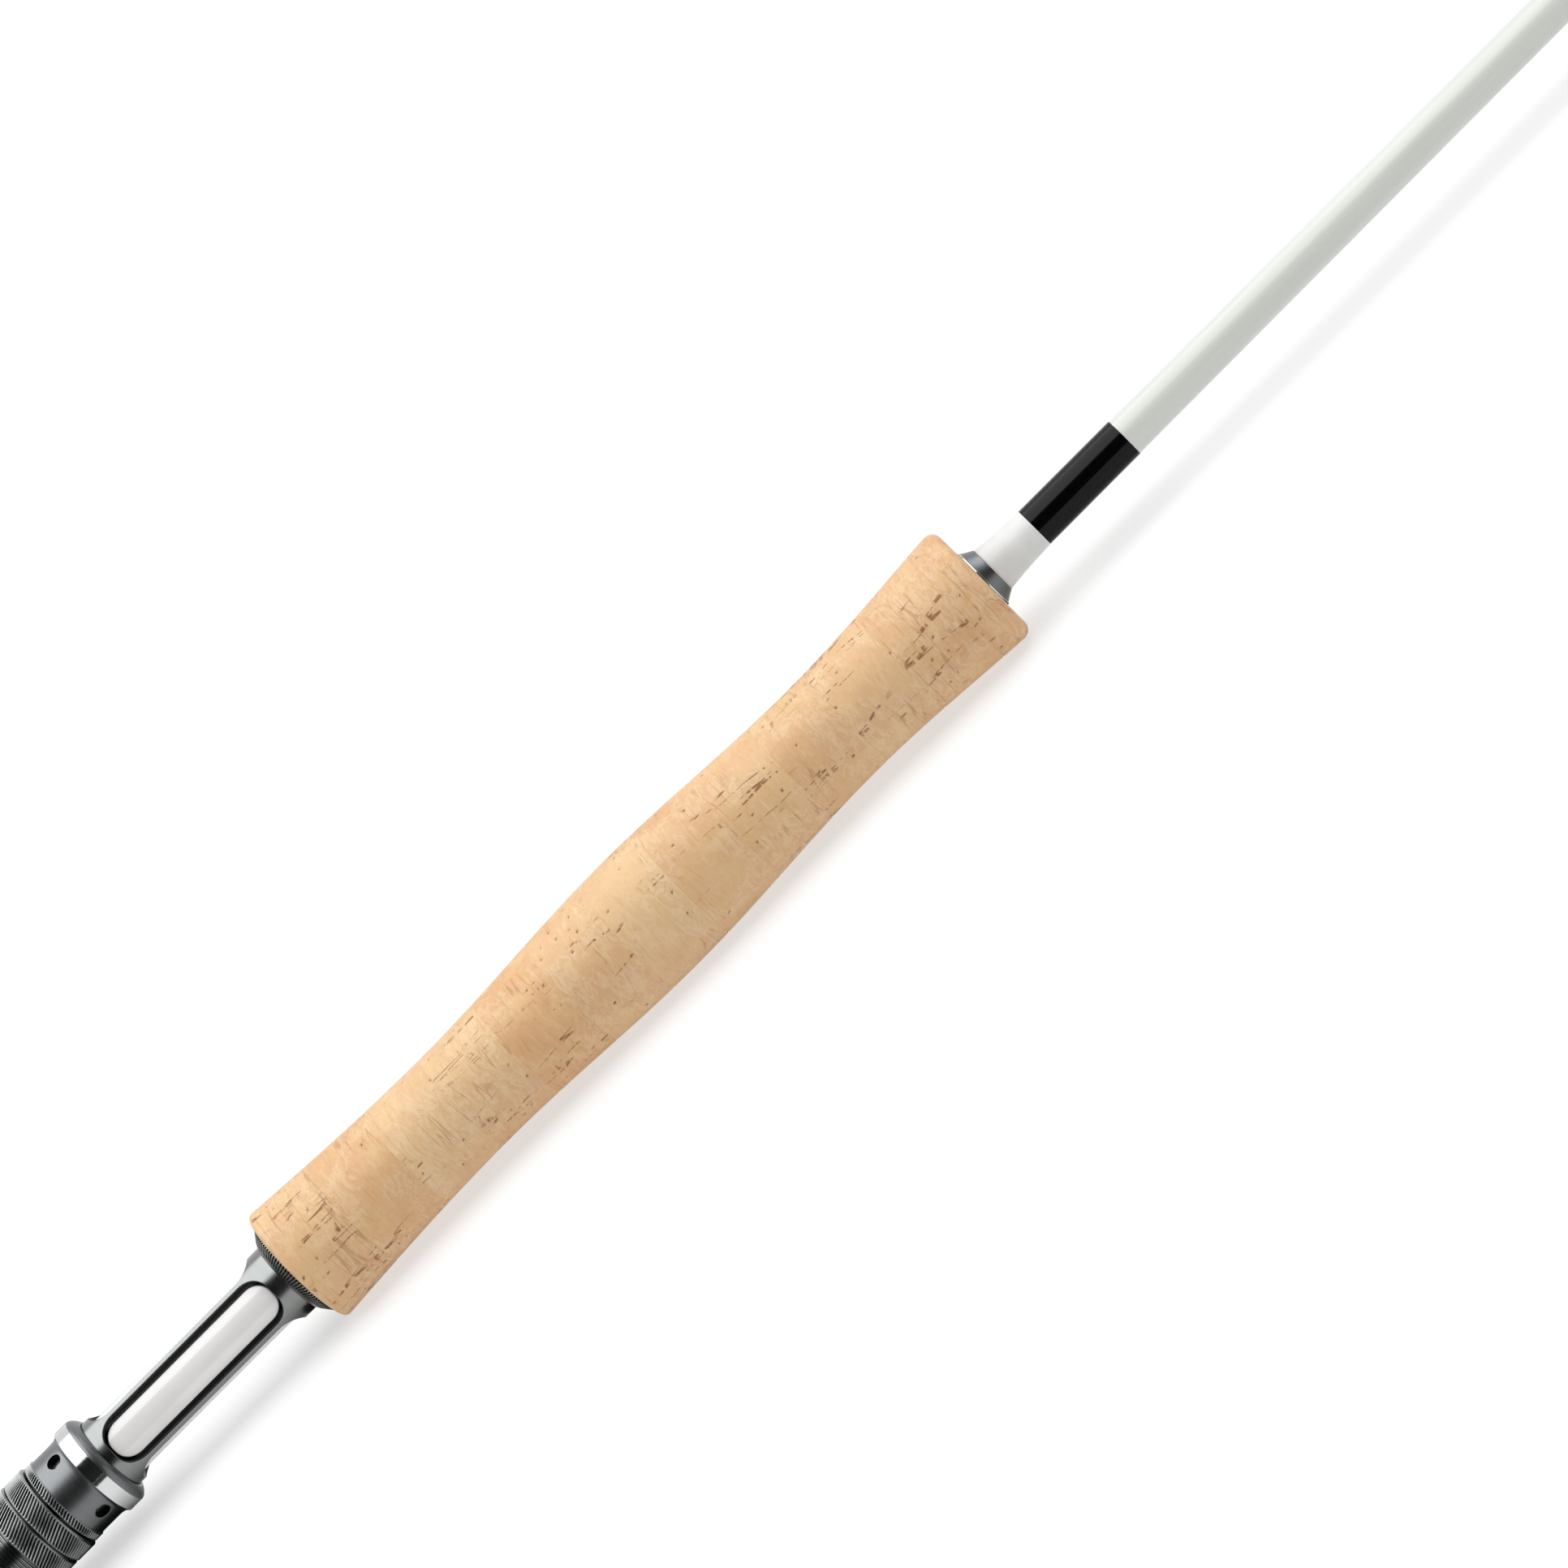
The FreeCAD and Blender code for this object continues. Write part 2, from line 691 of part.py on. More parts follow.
# winding check: a small spun metal trumpet
CHECK_RIM = f"({GRIP_END} + dims.check_rim_length)"
keep(
    turned(
        "winding_check",
        (
            (GRIP_END, glued(GRIP_END)),
            (CHECK_END, glued(CHECK_END)),
            (CHECK_END, "dims.check_front_radius"),
            (
                f"{GRIP_END} + dims.check_length * dims.check_waist_share",
                "dims.check_front_radius + dims.check_waist_rise",
            ),
            (CHECK_RIM, "dims.check_rim_radius - dims.check_rim_lip"),
            (CHECK_RIM, "dims.check_rim_radius"),
            (GRIP_END, "dims.check_rim_radius"),
        ),
    )
)

# white sleeve, thinning to a feather edge
fall = [
    (f"{CHECK_END} + dims.sleeve_length * {share}", f"dims.check_front_radius - {drop}")
    for share, drop in reversed(SLEEVE_FALL)
]
keep(
    turned(
        "taper_sleeve",
        (
            (CHECK_END, glued(CHECK_END)),
            (SLEEVE_END, glued(SLEEVE_END)),
            (SLEEVE_END, f"{butt_radius(SLEEVE_END)} + dims.sleeve_height"),
            *fall,
        ),
    )
)

# black band
keep(
    turned(
        "black_band",
        (
            (SLEEVE_END, glued(SLEEVE_END)),
            (BAND_END, glued(BAND_END)),
            (BAND_END, f"{butt_radius(BAND_END)} + dims.band_height"),
            (SLEEVE_END, f"{butt_radius(SLEEVE_END)} + dims.band_height"),
        ),
    )
)

# ---------------------------------------------------------------- blanks and ferrules

BUTT_START = "(dims.blank_recess + dims.glue_gap)"
keep(
    turned(
        "butt_blank",
        (
            (BUTT_START, f"{butt_radius(BUTT_START)} - dims.butt_blank_wall"),
            ("dims.section_length", f"{butt_radius('dims.section_length')} - dims.butt_blank_wall"),
            ("dims.section_length", butt_radius("dims.section_length")),
            (BUTT_START, butt_radius(BUTT_START)),
        ),
    )
)


def upper_section(name, order, wall, tip_radius, below_radius):
    """A section whose rear end is a socket over the section below. Returns its outer radius at a station.

    below_radius gives the radius of the section below at a station. The outside is one straight taper
    from the socket's mouth to the tip, and the bore past the socket keeps the wall's thickness.
    """
    mouth = f"({PITCH_OF_SECTIONS} * {order})"
    end = f"({mouth} + dims.section_length)"
    seat = f"({mouth} + dims.ferrule_overlap)"
    relief = f"({seat} + dims.socket_relief)"
    mouth_radius = f"({below_radius(mouth)} + dims.ferrule_clearance + {wall})"

    def radius(at):
        return f"({mouth_radius} - ({mouth_radius} - {tip_radius}) * ({at} - {mouth}) / dims.section_length)"

    relief_radius = f"({below_radius(seat)} + dims.ferrule_clearance)"
    keep(
        turned(
            name + "_blank",
            (
                (mouth, f"{below_radius(mouth)} + dims.ferrule_clearance"),
                (seat, relief_radius),
                (relief, relief_radius),
                (relief, f"{radius(relief)} - {wall} - dims.ferrule_clearance"),
                (end, f"{tip_radius} - {wall} * 0.8"),
                (end, tip_radius),
                (mouth, mouth_radius),
            ),
        )
    )
    wrap_end = f"({mouth} + dims.ferrule_wrap_length)"
    keep(
        turned(
            name + "_ferrule_wrap",
            (
                (mouth, f"{radius(mouth)} + dims.glue_gap"),
                (wrap_end, f"{radius(wrap_end)} + dims.glue_gap"),
                (wrap_end, f"{radius(wrap_end)} + dims.glue_gap * 2"),
                (f"{wrap_end} - dims.wrap_fade", f"{radius(wrap_end)} + dims.ferrule_wrap_height"),
                (mouth, f"{radius(mouth)} + dims.ferrule_wrap_height"),
            ),
        )
    )
    return radius


lower_radius = upper_section(
    "lower_middle", 1, "dims.lower_middle_wall", "dims.lower_middle_tip_radius", butt_radius
)
upper_radius = upper_section(
    "upper_middle", 2, "dims.upper_middle_wall", "dims.upper_middle_tip_radius", lower_radius
)
tip_radius = upper_section("tip", 3, "dims.tip_wall", "dims.tip_end_radius", upper_radius)

# ---------------------------------------------------------------- line guides, on the reel side

def bar(start, end, radius):
    """A straight round bar and the ball that rounds its far end, still to be joined."""
    return [Part.makeCylinder(radius, (end - start).Length, start, end - start), Part.makeSphere(radius, end)]


def hanging(along, sideways, down):
    """A point at a distance below the axis."""
    return Vector(along, sideways, -down)


def foot_wrap(start, end, blank, foot_drop, foot_radius):
    """Thread over one guide foot: the outline of a band stretched round blank and foot, less both."""
    height = value("dims.wrap_height")
    big = blank + height
    small = foot_radius + height
    lean = math.asin((big - small) / foot_drop)
    east = math.cos(lean)
    drop = math.sin(lean)
    corners = [
        Vector(start, big * east, -big * drop),
        Vector(start, small * east, -foot_drop - small * drop),
        Vector(start, -small * east, -foot_drop - small * drop),
        Vector(start, -big * east, -big * drop),
    ]
    round_foot = Part.Arc(corners[1], Vector(start, 0, -foot_drop - small), corners[2])
    round_blank = Part.Arc(corners[3], Vector(start, 0, big), corners[0])
    edges = [
        Part.makeLine(corners[0], corners[1]),
        round_foot.toShape(),
        Part.makeLine(corners[2], corners[3]),
        round_blank.toShape(),
    ]
    gap = value("dims.glue_gap")
    sleeve = Part.Face(Part.Wire(edges)).extrude(Vector(end - start, 0, 0))
    hole = Part.makeCylinder(blank + gap, end - start, Vector(start, 0, 0), ALONG)
    foot = Part.makeCylinder(foot_radius + gap, end - start, Vector(start, 0, -foot_drop), ALONG)
    return sleeve.cut(hole).cut(foot)


SECTIONS = ("butt", "lower_middle", "upper_middle", "tip")
RADIUS_OF = dict(zip(SECTIONS, (butt_radius, lower_radius, upper_radius, tip_radius)))
wraps = {section: [] for section in SECTIONS}


def guide_station(section, share):
    """Where a guide stands: a share of the way from its section's rear end to the next ferrule's mouth."""
    return value(f"{PITCH_OF_SECTIONS} * ({SECTIONS.index(section)} + {share})")


def blank_at(section, station):
    """A section's outer radius at a station, in millimetres."""
    return value(RADIUS_OF[section](f"{station:.6f}"))


def add_wraps(section, station, inner, outer, foot_radius, drop):
    """Wraps over both feet of a guide, from just inside each foot's root to past its toe."""
    margin = value("dims.wrap_margin")
    for side in (-1, 1):
        ends = sorted((station + side * inner, station + side * (outer + margin)))
        widest = blank_at(section, ends[0])
        wraps[section].append(foot_wrap(ends[0], ends[1], widest, drop, foot_radius))


def stripping_guide(number, section, size):
    """A ceramic ring in a metal band on four wire legs that end in two feet along the blank."""
    station = guide_station(section, f"dims.{size}_share")
    ring_radius = value(f"dims.{size}_ring_radius")
    wire = value("dims.stripper_wire_radius")
    width = value("dims.insert_width")
    thick = value("dims.insert_thickness")
    band = value("dims.band_thickness")
    foot_in = value("dims.stripper_foot_start")
    foot_out = foot_in + value("dims.foot_length")
    blank = blank_at(section, station - foot_out - value("dims.wrap_margin"))
    gap = value("dims.glue_gap")
    drop = blank + gap + wire
    centre = hanging(station, 0, blank + value(f"dims.{size}_height"))
    start = centre - Vector(width / 2, 0, 0)

    lip = Part.makeTorus(ring_radius - thick / 2, thick / 2, centre, ALONG)
    land = Part.makeCylinder(ring_radius, width, start, ALONG)
    land = land.cut(Part.makeCylinder(ring_radius - thick / 2, width, start, ALONG))
    keep(shaped(f"stripping_ring_{number}", lip.fuse(land).removeSplitter()))

    holder = Part.makeCylinder(ring_radius + gap + band, width, start, ALONG)
    side_out = ring_radius + gap + band / 2
    lean = math.radians(value("dims.stripper_leg_angle"))
    wires = []
    for end in (-1, 1):
        root = hanging(station + end * foot_in, 0, drop)
        toe = hanging(station + end * foot_out, 0, drop)
        wires += [Part.makeSphere(wire, root), *bar(root, toe, wire)]
        for side in (-1, 1):
            reach = Vector(0, side * math.sin(lean), math.cos(lean)) * side_out
            wires += bar(root, centre + reach, wire)
    opening = Part.makeCylinder(ring_radius + gap, width * 4, start - ALONG * width * 1.5, ALONG)
    frame = holder.fuse(wires).cut(opening)
    keep(shaped(f"stripping_guide_{number}", frame.removeSplitter()))
    add_wraps(section, station, foot_in + wire * 1.5, foot_out, wire, drop)


stripping_guide(1, "butt", "stripper_one")
stripping_guide(2, "lower_middle", "stripper_two")


def bent_wire(points, bend, radius):
    """Round wire along straight runs, with a tangent arc of the given bend radius at each corner."""
    edges = []
    start = points[0]
    for corner, following in zip(points[1:-1], points[2:]):
        into = (corner - start).normalize()
        out = (following - corner).normalize()
        turn = into.getAngle(out)
        setback = bend * math.tan(turn / 2)
        begin = corner - into * setback
        finish = corner + out * setback
        bisector = (out - into).normalize()
        crown = corner + bisector * (bend / math.cos(turn / 2) - bend)
        edges.append(Part.makeLine(start, begin))
        edges.append(Part.Arc(begin, crown, finish).toShape())
        start = finish
    edges.append(Part.makeLine(start, points[-1]))
    path = Part.Wire(edges)
    heading = (points[1] - points[0]).normalize()
    section = Part.Wire([Part.makeCircle(radius, points[0], heading)])
    return path.makePipeShell([section], True, False)


def snake_guide(name, section, station, loop):
    """One wire: a foot, a climb to one side, over the loop's top, down the other side, and a foot."""
    wire = value("dims.snake_wire_radius")
    span = value("dims.snake_half_span")
    foot = value("dims.snake_foot_length")
    blank = blank_at(section, station - span - foot - value("dims.wrap_margin"))
    drop = blank + value("dims.glue_gap") + wire
    middle = loop / 2 + wire
    shoulder = drop + loop * SNAKE_LIFT + middle / 2
    top = drop + loop + wire
    points = [
        hanging(station - span - foot, 0, drop),
        hanging(station - span, 0, drop),
        hanging(station - span * SNAKE_SHOULDER, middle, shoulder),
        hanging(station - span * SNAKE_CROWN, middle * SNAKE_CROWN_WIDTH, top),
        hanging(station + span * SNAKE_CROWN, -middle * SNAKE_CROWN_WIDTH, top),
        hanging(station + span * SNAKE_SHOULDER, -middle, shoulder),
        hanging(station + span, 0, drop),
        hanging(station + span + foot, 0, drop),
    ]
    keep(shaped(name, bent_wire(points, value("dims.snake_bend_radius"), wire)))
    add_wraps(section, station, span + wire, span + foot, wire, drop)


snake_count = 0
for section_name, guides in SNAKES.items():
    for share, loop_width in guides:
        snake_count += 1
        station = guide_station(section_name, share)
        snake_guide(f"snake_guide_{snake_count:02d}", section_name, station, loop_width)

for section_name, pieces in wraps.items():
    keep(shaped(section_name + "_guide_wraps", Part.makeCompound(pieces)))

# ---------------------------------------------------------------- tip-top

ROD_END = f"({PITCH_OF_SECTIONS} * 3 + dims.section_length)"
rod_end = value(ROD_END)
tube_start = rod_end - value("dims.tip_tube_length")
tube_end = rod_end + value("dims.tip_tube_end")
tube_bore = value(tip_radius(f"{tube_start:.6f}")) + value("dims.glue_gap")
tube_outer = tube_bore + value("dims.tip_tube_wall")
tube = Part.makeCylinder(tube_outer, tube_end - tube_start, Vector(tube_start, 0, 0), ALONG)
tube = tube.cut(Part.makeCylinder(tube_bore, rod_end - tube_start, Vector(tube_start, 0, 0), ALONG))
keep(shaped("tip_top_tube", tube))

loop_radius = value("dims.tip_loop_radius")
loop_wire = value("dims.tip_wire_radius")
leg_wire = value("dims.tip_leg_radius")
loop_lean = math.radians(value("dims.tip_loop_tilt"))
loop_centre = hanging(tube_end + loop_radius * math.sin(loop_lean), 0, loop_radius * math.cos(loop_lean))
loop_axis = Vector(math.cos(loop_lean), 0, -math.sin(loop_lean))
loop = Part.makeTorus(loop_radius, loop_wire, loop_centre, loop_axis)
leg_start = tube_start + value("dims.tip_leg_start")
legs = []
for side in (-1, 1):
    leg_root = hanging(leg_start, side * tube_outer * value("dims.tip_leg_spread"), tube_outer)
    leg_end = loop_centre + Vector(0, side * loop_radius, 0)
    legs += [Part.makeSphere(leg_wire, leg_root), *bar(leg_root, leg_end, leg_wire)]
tube_room = Part.makeCylinder(tube_outer, tube_end - tube_start, Vector(tube_start, 0, 0), ALONG)
loop = loop.fuse(legs).cut(tube_room)
keep(shaped("tip_top_loop", loop.removeSplitter()))

# ---------------------------------------------------------------- check and write

doc.recompute()
os.makedirs("parts", exist_ok=True)
for item in doc.Objects:
    if "Invalid" in item.State or "Error" in item.State:
        raise RuntimeError(f"{item.Name} failed: {item.State}")
for node in nodes:
    if node.Shape.isNull() or not node.Shape.isValid():
        raise RuntimeError(f"{node.Name} has a bad shape")
for node in nodes:
    laid = node.Shape.copy()
    laid.rotate(CENTRE, ALONG, value("dims.lying_roll"))
    laid.exportStep(f"parts/{node.Label}.step")
print(f"{len(nodes)} sub-parts written")
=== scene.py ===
import math

import bmesh
import bpy
import numpy as np
from mathutils import Matrix, Vector


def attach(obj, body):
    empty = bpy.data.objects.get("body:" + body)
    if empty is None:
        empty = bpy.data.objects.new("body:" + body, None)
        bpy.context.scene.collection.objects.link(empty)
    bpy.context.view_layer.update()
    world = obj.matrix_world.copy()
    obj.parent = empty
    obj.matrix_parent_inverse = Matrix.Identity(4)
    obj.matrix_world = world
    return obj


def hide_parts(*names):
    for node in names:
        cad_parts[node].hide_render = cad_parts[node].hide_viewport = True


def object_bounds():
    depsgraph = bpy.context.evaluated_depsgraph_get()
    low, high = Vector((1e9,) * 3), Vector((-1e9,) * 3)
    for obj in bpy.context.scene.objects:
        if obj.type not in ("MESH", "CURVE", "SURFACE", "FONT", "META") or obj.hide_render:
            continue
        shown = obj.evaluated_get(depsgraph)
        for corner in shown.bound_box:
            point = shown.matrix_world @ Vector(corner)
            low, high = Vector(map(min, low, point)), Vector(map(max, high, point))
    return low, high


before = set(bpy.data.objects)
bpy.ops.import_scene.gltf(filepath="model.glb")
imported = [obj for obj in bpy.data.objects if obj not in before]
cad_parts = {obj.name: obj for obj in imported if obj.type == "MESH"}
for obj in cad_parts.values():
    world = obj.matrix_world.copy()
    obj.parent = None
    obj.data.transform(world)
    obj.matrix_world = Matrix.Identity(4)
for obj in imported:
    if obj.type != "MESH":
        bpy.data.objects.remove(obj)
cad_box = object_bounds()

# -------- butt cap
# A cap of black rubber pressed over the end of the rod, so that it can stand on its butt.
# It is moulded, with a dull skin, a rounded corner and a flat end face.

LYING = math.radians(72.0)
FULL_TURN = 2 * math.pi
CAP_END = 7.0


def laid(x, y, z):
    """Millimetres in the rod's own frame, whose +z is its back, as metres where the rod lies on its
    side: turned about the x axis by the lying angle."""
    x, y, z = np.broadcast_arrays(x, y, z)
    across = y * math.cos(LYING) - z * math.sin(LYING)
    height = y * math.sin(LYING) + z * math.cos(LYING)
    return np.stack([x, across, height], axis=-1) / 1000


def around(x, radius, angle):
    """The point x along the rod and radius off its axis, at an angle round it from its back."""
    return laid(x, radius * np.sin(angle), radius * np.cos(angle))


def softened(outline, steps=4):
    """A closed outline of corners (x, radius, size). Each corner p becomes the curve
    (1 - t)^2 a + 2 t (1 - t) p + t^2 b, where a and b lie size away on its two straight sides,
    with one more point on each side to hold the flats flat."""
    corners = np.array(outline, dtype=float)
    point, size = corners[:, None, :2], corners[:, None, 2:]
    sides = []
    for neighbour in (1, -1):
        run = np.roll(point, neighbour, axis=0) - point
        length = np.linalg.norm(run, axis=2, keepdims=True)
        sides.append((run / length, length))
    (back, back_length), (ahead, ahead_length) = sides
    reach = np.minimum(size, 0.42 * np.minimum(back_length, ahead_length))
    t = np.linspace(0, 1, steps + 1)[None, :, None]
    a, b = point + back * reach, point + ahead * reach
    curve = (1 - t) ** 2 * a + 2 * t * (1 - t) * point + t**2 * b
    rows = [point + back * reach * 1.15, curve, point + ahead * reach * 1.15]
    return np.concatenate(rows, axis=1).reshape(-1, 2)


def ring_of(profile, columns=128):
    """A profile of (x, radius) carried once round the rod's axis."""
    angle = np.linspace(0, FULL_TURN, columns, endpoint=False)
    return around(profile[:, :1], profile[:, 1:], angle[None, :])


def grid_faces(rows, columns, closed_rows, closed_columns):
    """Four-sided faces between neighbouring points of a grid; a closed side joins its last to its first."""
    i, j = np.meshgrid(
        np.arange(rows if closed_rows else rows - 1),
        np.arange(columns if closed_columns else columns - 1),
        indexing="ij",
    )
    below, beside = (i + 1) % rows, (j + 1) % columns
    corners = [i * columns + j, i * columns + beside, below * columns + beside, below * columns + j]
    return np.stack(corners, axis=-1).reshape(-1, 4)


def put(name, data):
    """A new object in the scene, at its origin."""
    made = bpy.data.objects.new(name, data)
    bpy.context.scene.collection.objects.link(made)
    return made


def piece(name, shells, body, nodes, materials, sharp=32.0):
    """Builds one piece. A shell is a list of (grid, rows closed, columns closed, material number);
    its grids are joined where they meet, and its faces are turned outwards."""
    whole = bmesh.new()
    for shell in shells:
        points, faces, numbers, start = [], [], [], 0
        for grid, closed_rows, closed_columns, number in shell:
            made = grid_faces(grid.shape[0], grid.shape[1], closed_rows, closed_columns)
            points.append(grid.reshape(-1, 3))
            faces.append(made + start)
            numbers.append(np.full(len(made), number))
            start += grid.shape[0] * grid.shape[1]
        mesh = bpy.data.meshes.new(name)
        mesh.from_pydata(np.concatenate(points).tolist(), [], np.concatenate(faces).tolist())
        mesh.polygons.foreach_set("material_index", np.concatenate(numbers).astype(np.int32))
        work = bmesh.new()
        work.from_mesh(mesh)
        bmesh.ops.remove_doubles(work, verts=work.verts, dist=2e-6)
        bmesh.ops.dissolve_degenerate(work, edges=work.edges, dist=1e-7)
        bmesh.ops.recalc_face_normals(work, faces=work.faces)
        work.to_mesh(mesh)
        work.free()
        whole.from_mesh(mesh)
        bpy.data.meshes.remove(mesh)
    mesh = bpy.data.meshes.new(name)
    whole.to_mesh(mesh)
    whole.free()
    for material in materials:
        mesh.materials.append(material)
    mesh.shade_smooth()
    mesh.set_sharp_from_angle(angle=math.radians(sharp))
    made = put(name, mesh)
    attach(made, body)
    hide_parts(*nodes)
    return made


def turned(name, profile, node, material, body="butt_section", columns=128, sharp=32.0):
    """Builds one turned piece from a closed profile of (x, radius)."""
    shell = [(ring_of(profile, columns), True, True, 0)]
    return piece(name, [shell], body, [node], [material], sharp)


def colour(code):
    """An sRGB colour, written #rrggbb, as linear light."""
    value = np.array([int(code[i : i + 2], 16) for i in (1, 3, 5)]) / 255
    linear = np.where(value <= 0.04045, value / 12.92, ((value + 0.055) / 1.055) ** 2.4)
    return (*linear.tolist(), 1.0)


def add_node(tree, kind, sockets=None, **settings):
    """Adds one shader node and gives its outputs. A socket's value is a constant, or another node's
    output to link from."""
    made = tree.nodes.new("ShaderNode" + kind)
    for setting, value in settings.items():
        setattr(made, setting, value)
    for socket, value in (sockets or {}).items():
        if isinstance(value, bpy.types.NodeSocket):
            tree.links.new(value, made.inputs[socket])
        else:
            made.inputs[socket].default_value = value
    return made.outputs


def cleared(owner):
    """The emptied node tree of a material or a world."""
    owner.use_nodes = True
    owner.node_tree.nodes.clear()
    return owner.node_tree


def finish(tree, **sockets):
    """Ends a material with one Principled shader, whose even values are set on its own sockets."""
    named = {key.replace("_", " "): value for key, value in sockets.items()}
    shader = add_node(tree, "BsdfPrincipled", named)
    add_node(tree, "OutputMaterial", {"Surface": shader[0]})


def laid_over(tree, tone, code, value, low=0.0, high=1.0, share=1.0):
    """Lays a colour over a tone: none of it where the value is low, that share of it where it is high."""
    sockets = {"Value": value, "From Min": low, "From Max": high, "To Max": share}
    much = add_node(tree, "MapRange", sockets)[0]
    return add_node(tree, "Mix", {0: much, 6: tone, 7: colour(code)}, data_type="RGBA")[2]


def grained(name, tone, other, noise, spread=(0.0, 1.0), gloss=None, relief=None, groove_shade=None, **even):
    """A material that goes from one tone to the other with a noise, over the part that spread names.
    A noise is (x, y, z, detail): one unit every 1/x metres along the rod, 1/y across it and 1/z up.
    gloss is (noise, least, most) for the roughness, and relief is (noise, depth in metres); None there
    is the first noise again. groove_shade is (colour, low, high) for the painted shade laid into the mesh's
    stored grooves."""
    material = bpy.data.materials.new(name)
    tree = cleared(material)
    here = add_node(tree, "TexCoord")["Object"]

    def level(x, y, z, detail):
        """The noise's value at this point, 0 to 1."""
        at = add_node(tree, "VectorMath", {0: here, 1: (x, y, z)}, operation="MULTIPLY")[0]
        return add_node(tree, "TexNoise", {"Vector": at, "Scale": 1.0, "Detail": detail})["Fac"]

    first = level(*noise)
    shade = laid_over(tree, colour(tone), other, first, *spread)
    if groove_shade:
        below = add_node(tree, "Attribute", attribute_name="groove_shade")["Fac"]
        shade = laid_over(tree, shade, groove_shade[0], below, *groove_shade[1:])
    if gloss:
        own, least, most = gloss
        sockets = {"From Min": 0.3, "From Max": 0.7, "To Min": least, "To Max": most}
        sockets["Value"] = level(*own) if own else first
        even["Roughness"] = add_node(tree, "MapRange", sockets)[0]
    if relief:
        own, depth = relief
        sockets = {"Strength": 1.0, "Distance": depth, "Height": level(*own) if own else first}
        even["Normal"] = add_node(tree, "Bump", sockets)[0]
    finish(tree, Base_Color=shade, **even)
    return material


# moulded rubber: a dull skin with a faint grain about 0.4 mm across, and paler where it is scuffed
rubber = grained(
    "moulded black rubber", "#141414", "#2c2b2a", (160, 160, 160, 5.0),
    relief=((2500, 2500, 2500, 3.0), 0.00004), Roughness=0.62, Specular_IOR_Level=0.35,
)
cap_outline = ((0, 4.0, 0.2), (0, 12.97, 1.5), (CAP_END, 12.97, 0.25), (CAP_END, 4.95, 0.1))
turned("butt_cap_rubber", softened(cap_outline, 8), "butt_cap", rubber)

# -------- fighting butt
# The short cork behind the reel seat, which rests on the angler's belly. It is turned from one piece of
# natural cork, glued over the blank and sanded smooth, like the grip.

CORK_END = 40.0
CORK_RING = 15.24
GRIP_START, GRIP_END = 155.0, 345.5

# natural cork, sanded: honey and pinkish tones that change at every ring, growth lines round the grip
# about 1 mm apart, dashed cracks along the rod, dark bark-filled pits, and a soft matt surface
cork = bpy.data.materials.new("sanded natural cork")
tree = cleared(cork)
here = add_node(tree, "TexCoord")["Object"]
along = add_node(tree, "SeparateXYZ", {0: here})[0]
rings = {0: along, 1: 1000 / CORK_RING, 2: -GRIP_START / CORK_RING}
count = add_node(tree, "Math", rings, operation="MULTIPLY_ADD")[0]
ring_number = add_node(tree, "Math", {0: count}, operation="FLOOR")[0]
ring_tone = add_node(tree, "TexWhiteNoise", {"W": ring_number}, noise_dimensions="1D")
# each ring looks up its own place in the noise, so that the grain breaks at every glue line
apart = add_node(tree, "CombineXYZ", {0: ring_number, 1: ring_number, 2: ring_number})[0]
shift = add_node(tree, "VectorMath", {0: apart, 1: (0.0, 0.137, 0.071)}, operation="MULTIPLY")[0]
own = add_node(tree, "VectorMath", {0: here, 1: shift}, operation="ADD")[0]


def cork_noise(scale, detail, roughness=0.55, distortion=0.0):
    """Noise on each ring's own coordinates, with one unit for each 1/scale metres on each axis."""
    at = add_node(tree, "VectorMath", {0: own, 1: scale}, operation="MULTIPLY")[0]
    sockets = {"Scale": 1.0, "Detail": detail, "Roughness": roughness, "Distortion": distortion}
    return add_node(tree, "TexNoise", {"Vector": at, **sockets})["Fac"]


def cork_lines(scale, distortion, thin, wide, where_scale, rare):
    """Thin wandering lines where a noise passes through its middle value, only in scattered places."""
    wander = cork_noise(scale, 3.0, 0.55, distortion)
    off = add_node(tree, "Math", {0: wander, 1: 0.5}, operation="SUBTRACT")[0]
    off = add_node(tree, "Math", {0: off}, operation="ABSOLUTE")[0]
    line = add_node(tree, "MapRange", {"Value": off, "From Min": wide, "From Max": thin})[0]
    where = cork_noise(where_scale, 2.0)
    there = add_node(tree, "MapRange", {"Value": where, "From Min": rare, "From Max": rare + 0.07})[0]
    return add_node(tree, "Math", {0: line, 1: there}, operation="MULTIPLY")[0]


growth = cork_noise((620, 150, 150), 5.0, 0.62, 1.6)
blotches = cork_noise((60, 80, 80), 3.0)
patches = cork_noise((150, 190, 190), 4.0, 0.6)
speckle = cork_noise((1100, 1000, 1000), 5.0, 0.75)
ridges = cork_lines((480, 230, 230), 1.1, 0.02, 0.09, (70, 90, 90), 0.45)
hairs = cork_lines((300, 26, 26), 0.25, 0.005, 0.022, (50, 80, 80), 0.52)
cracks = cork_lines((18, 170, 170), 0.06, 0.004, 0.012, (40, 70, 70), 0.52)
dashes = {"Value": cork_noise((900, 300, 300), 1.0), "From Min": 0.42, "From Max": 0.54}
broken = add_node(tree, "MapRange", dashes)[0]
cracks = add_node(tree, "Math", {0: cracks, 1: broken}, operation="MULTIPLY")[0]
pit = add_node(tree, "Attribute", attribute_name="pit")["Fac"]
tone = laid_over(tree, colour("#d6a878"), "#dcb88a", ring_tone["Value"])
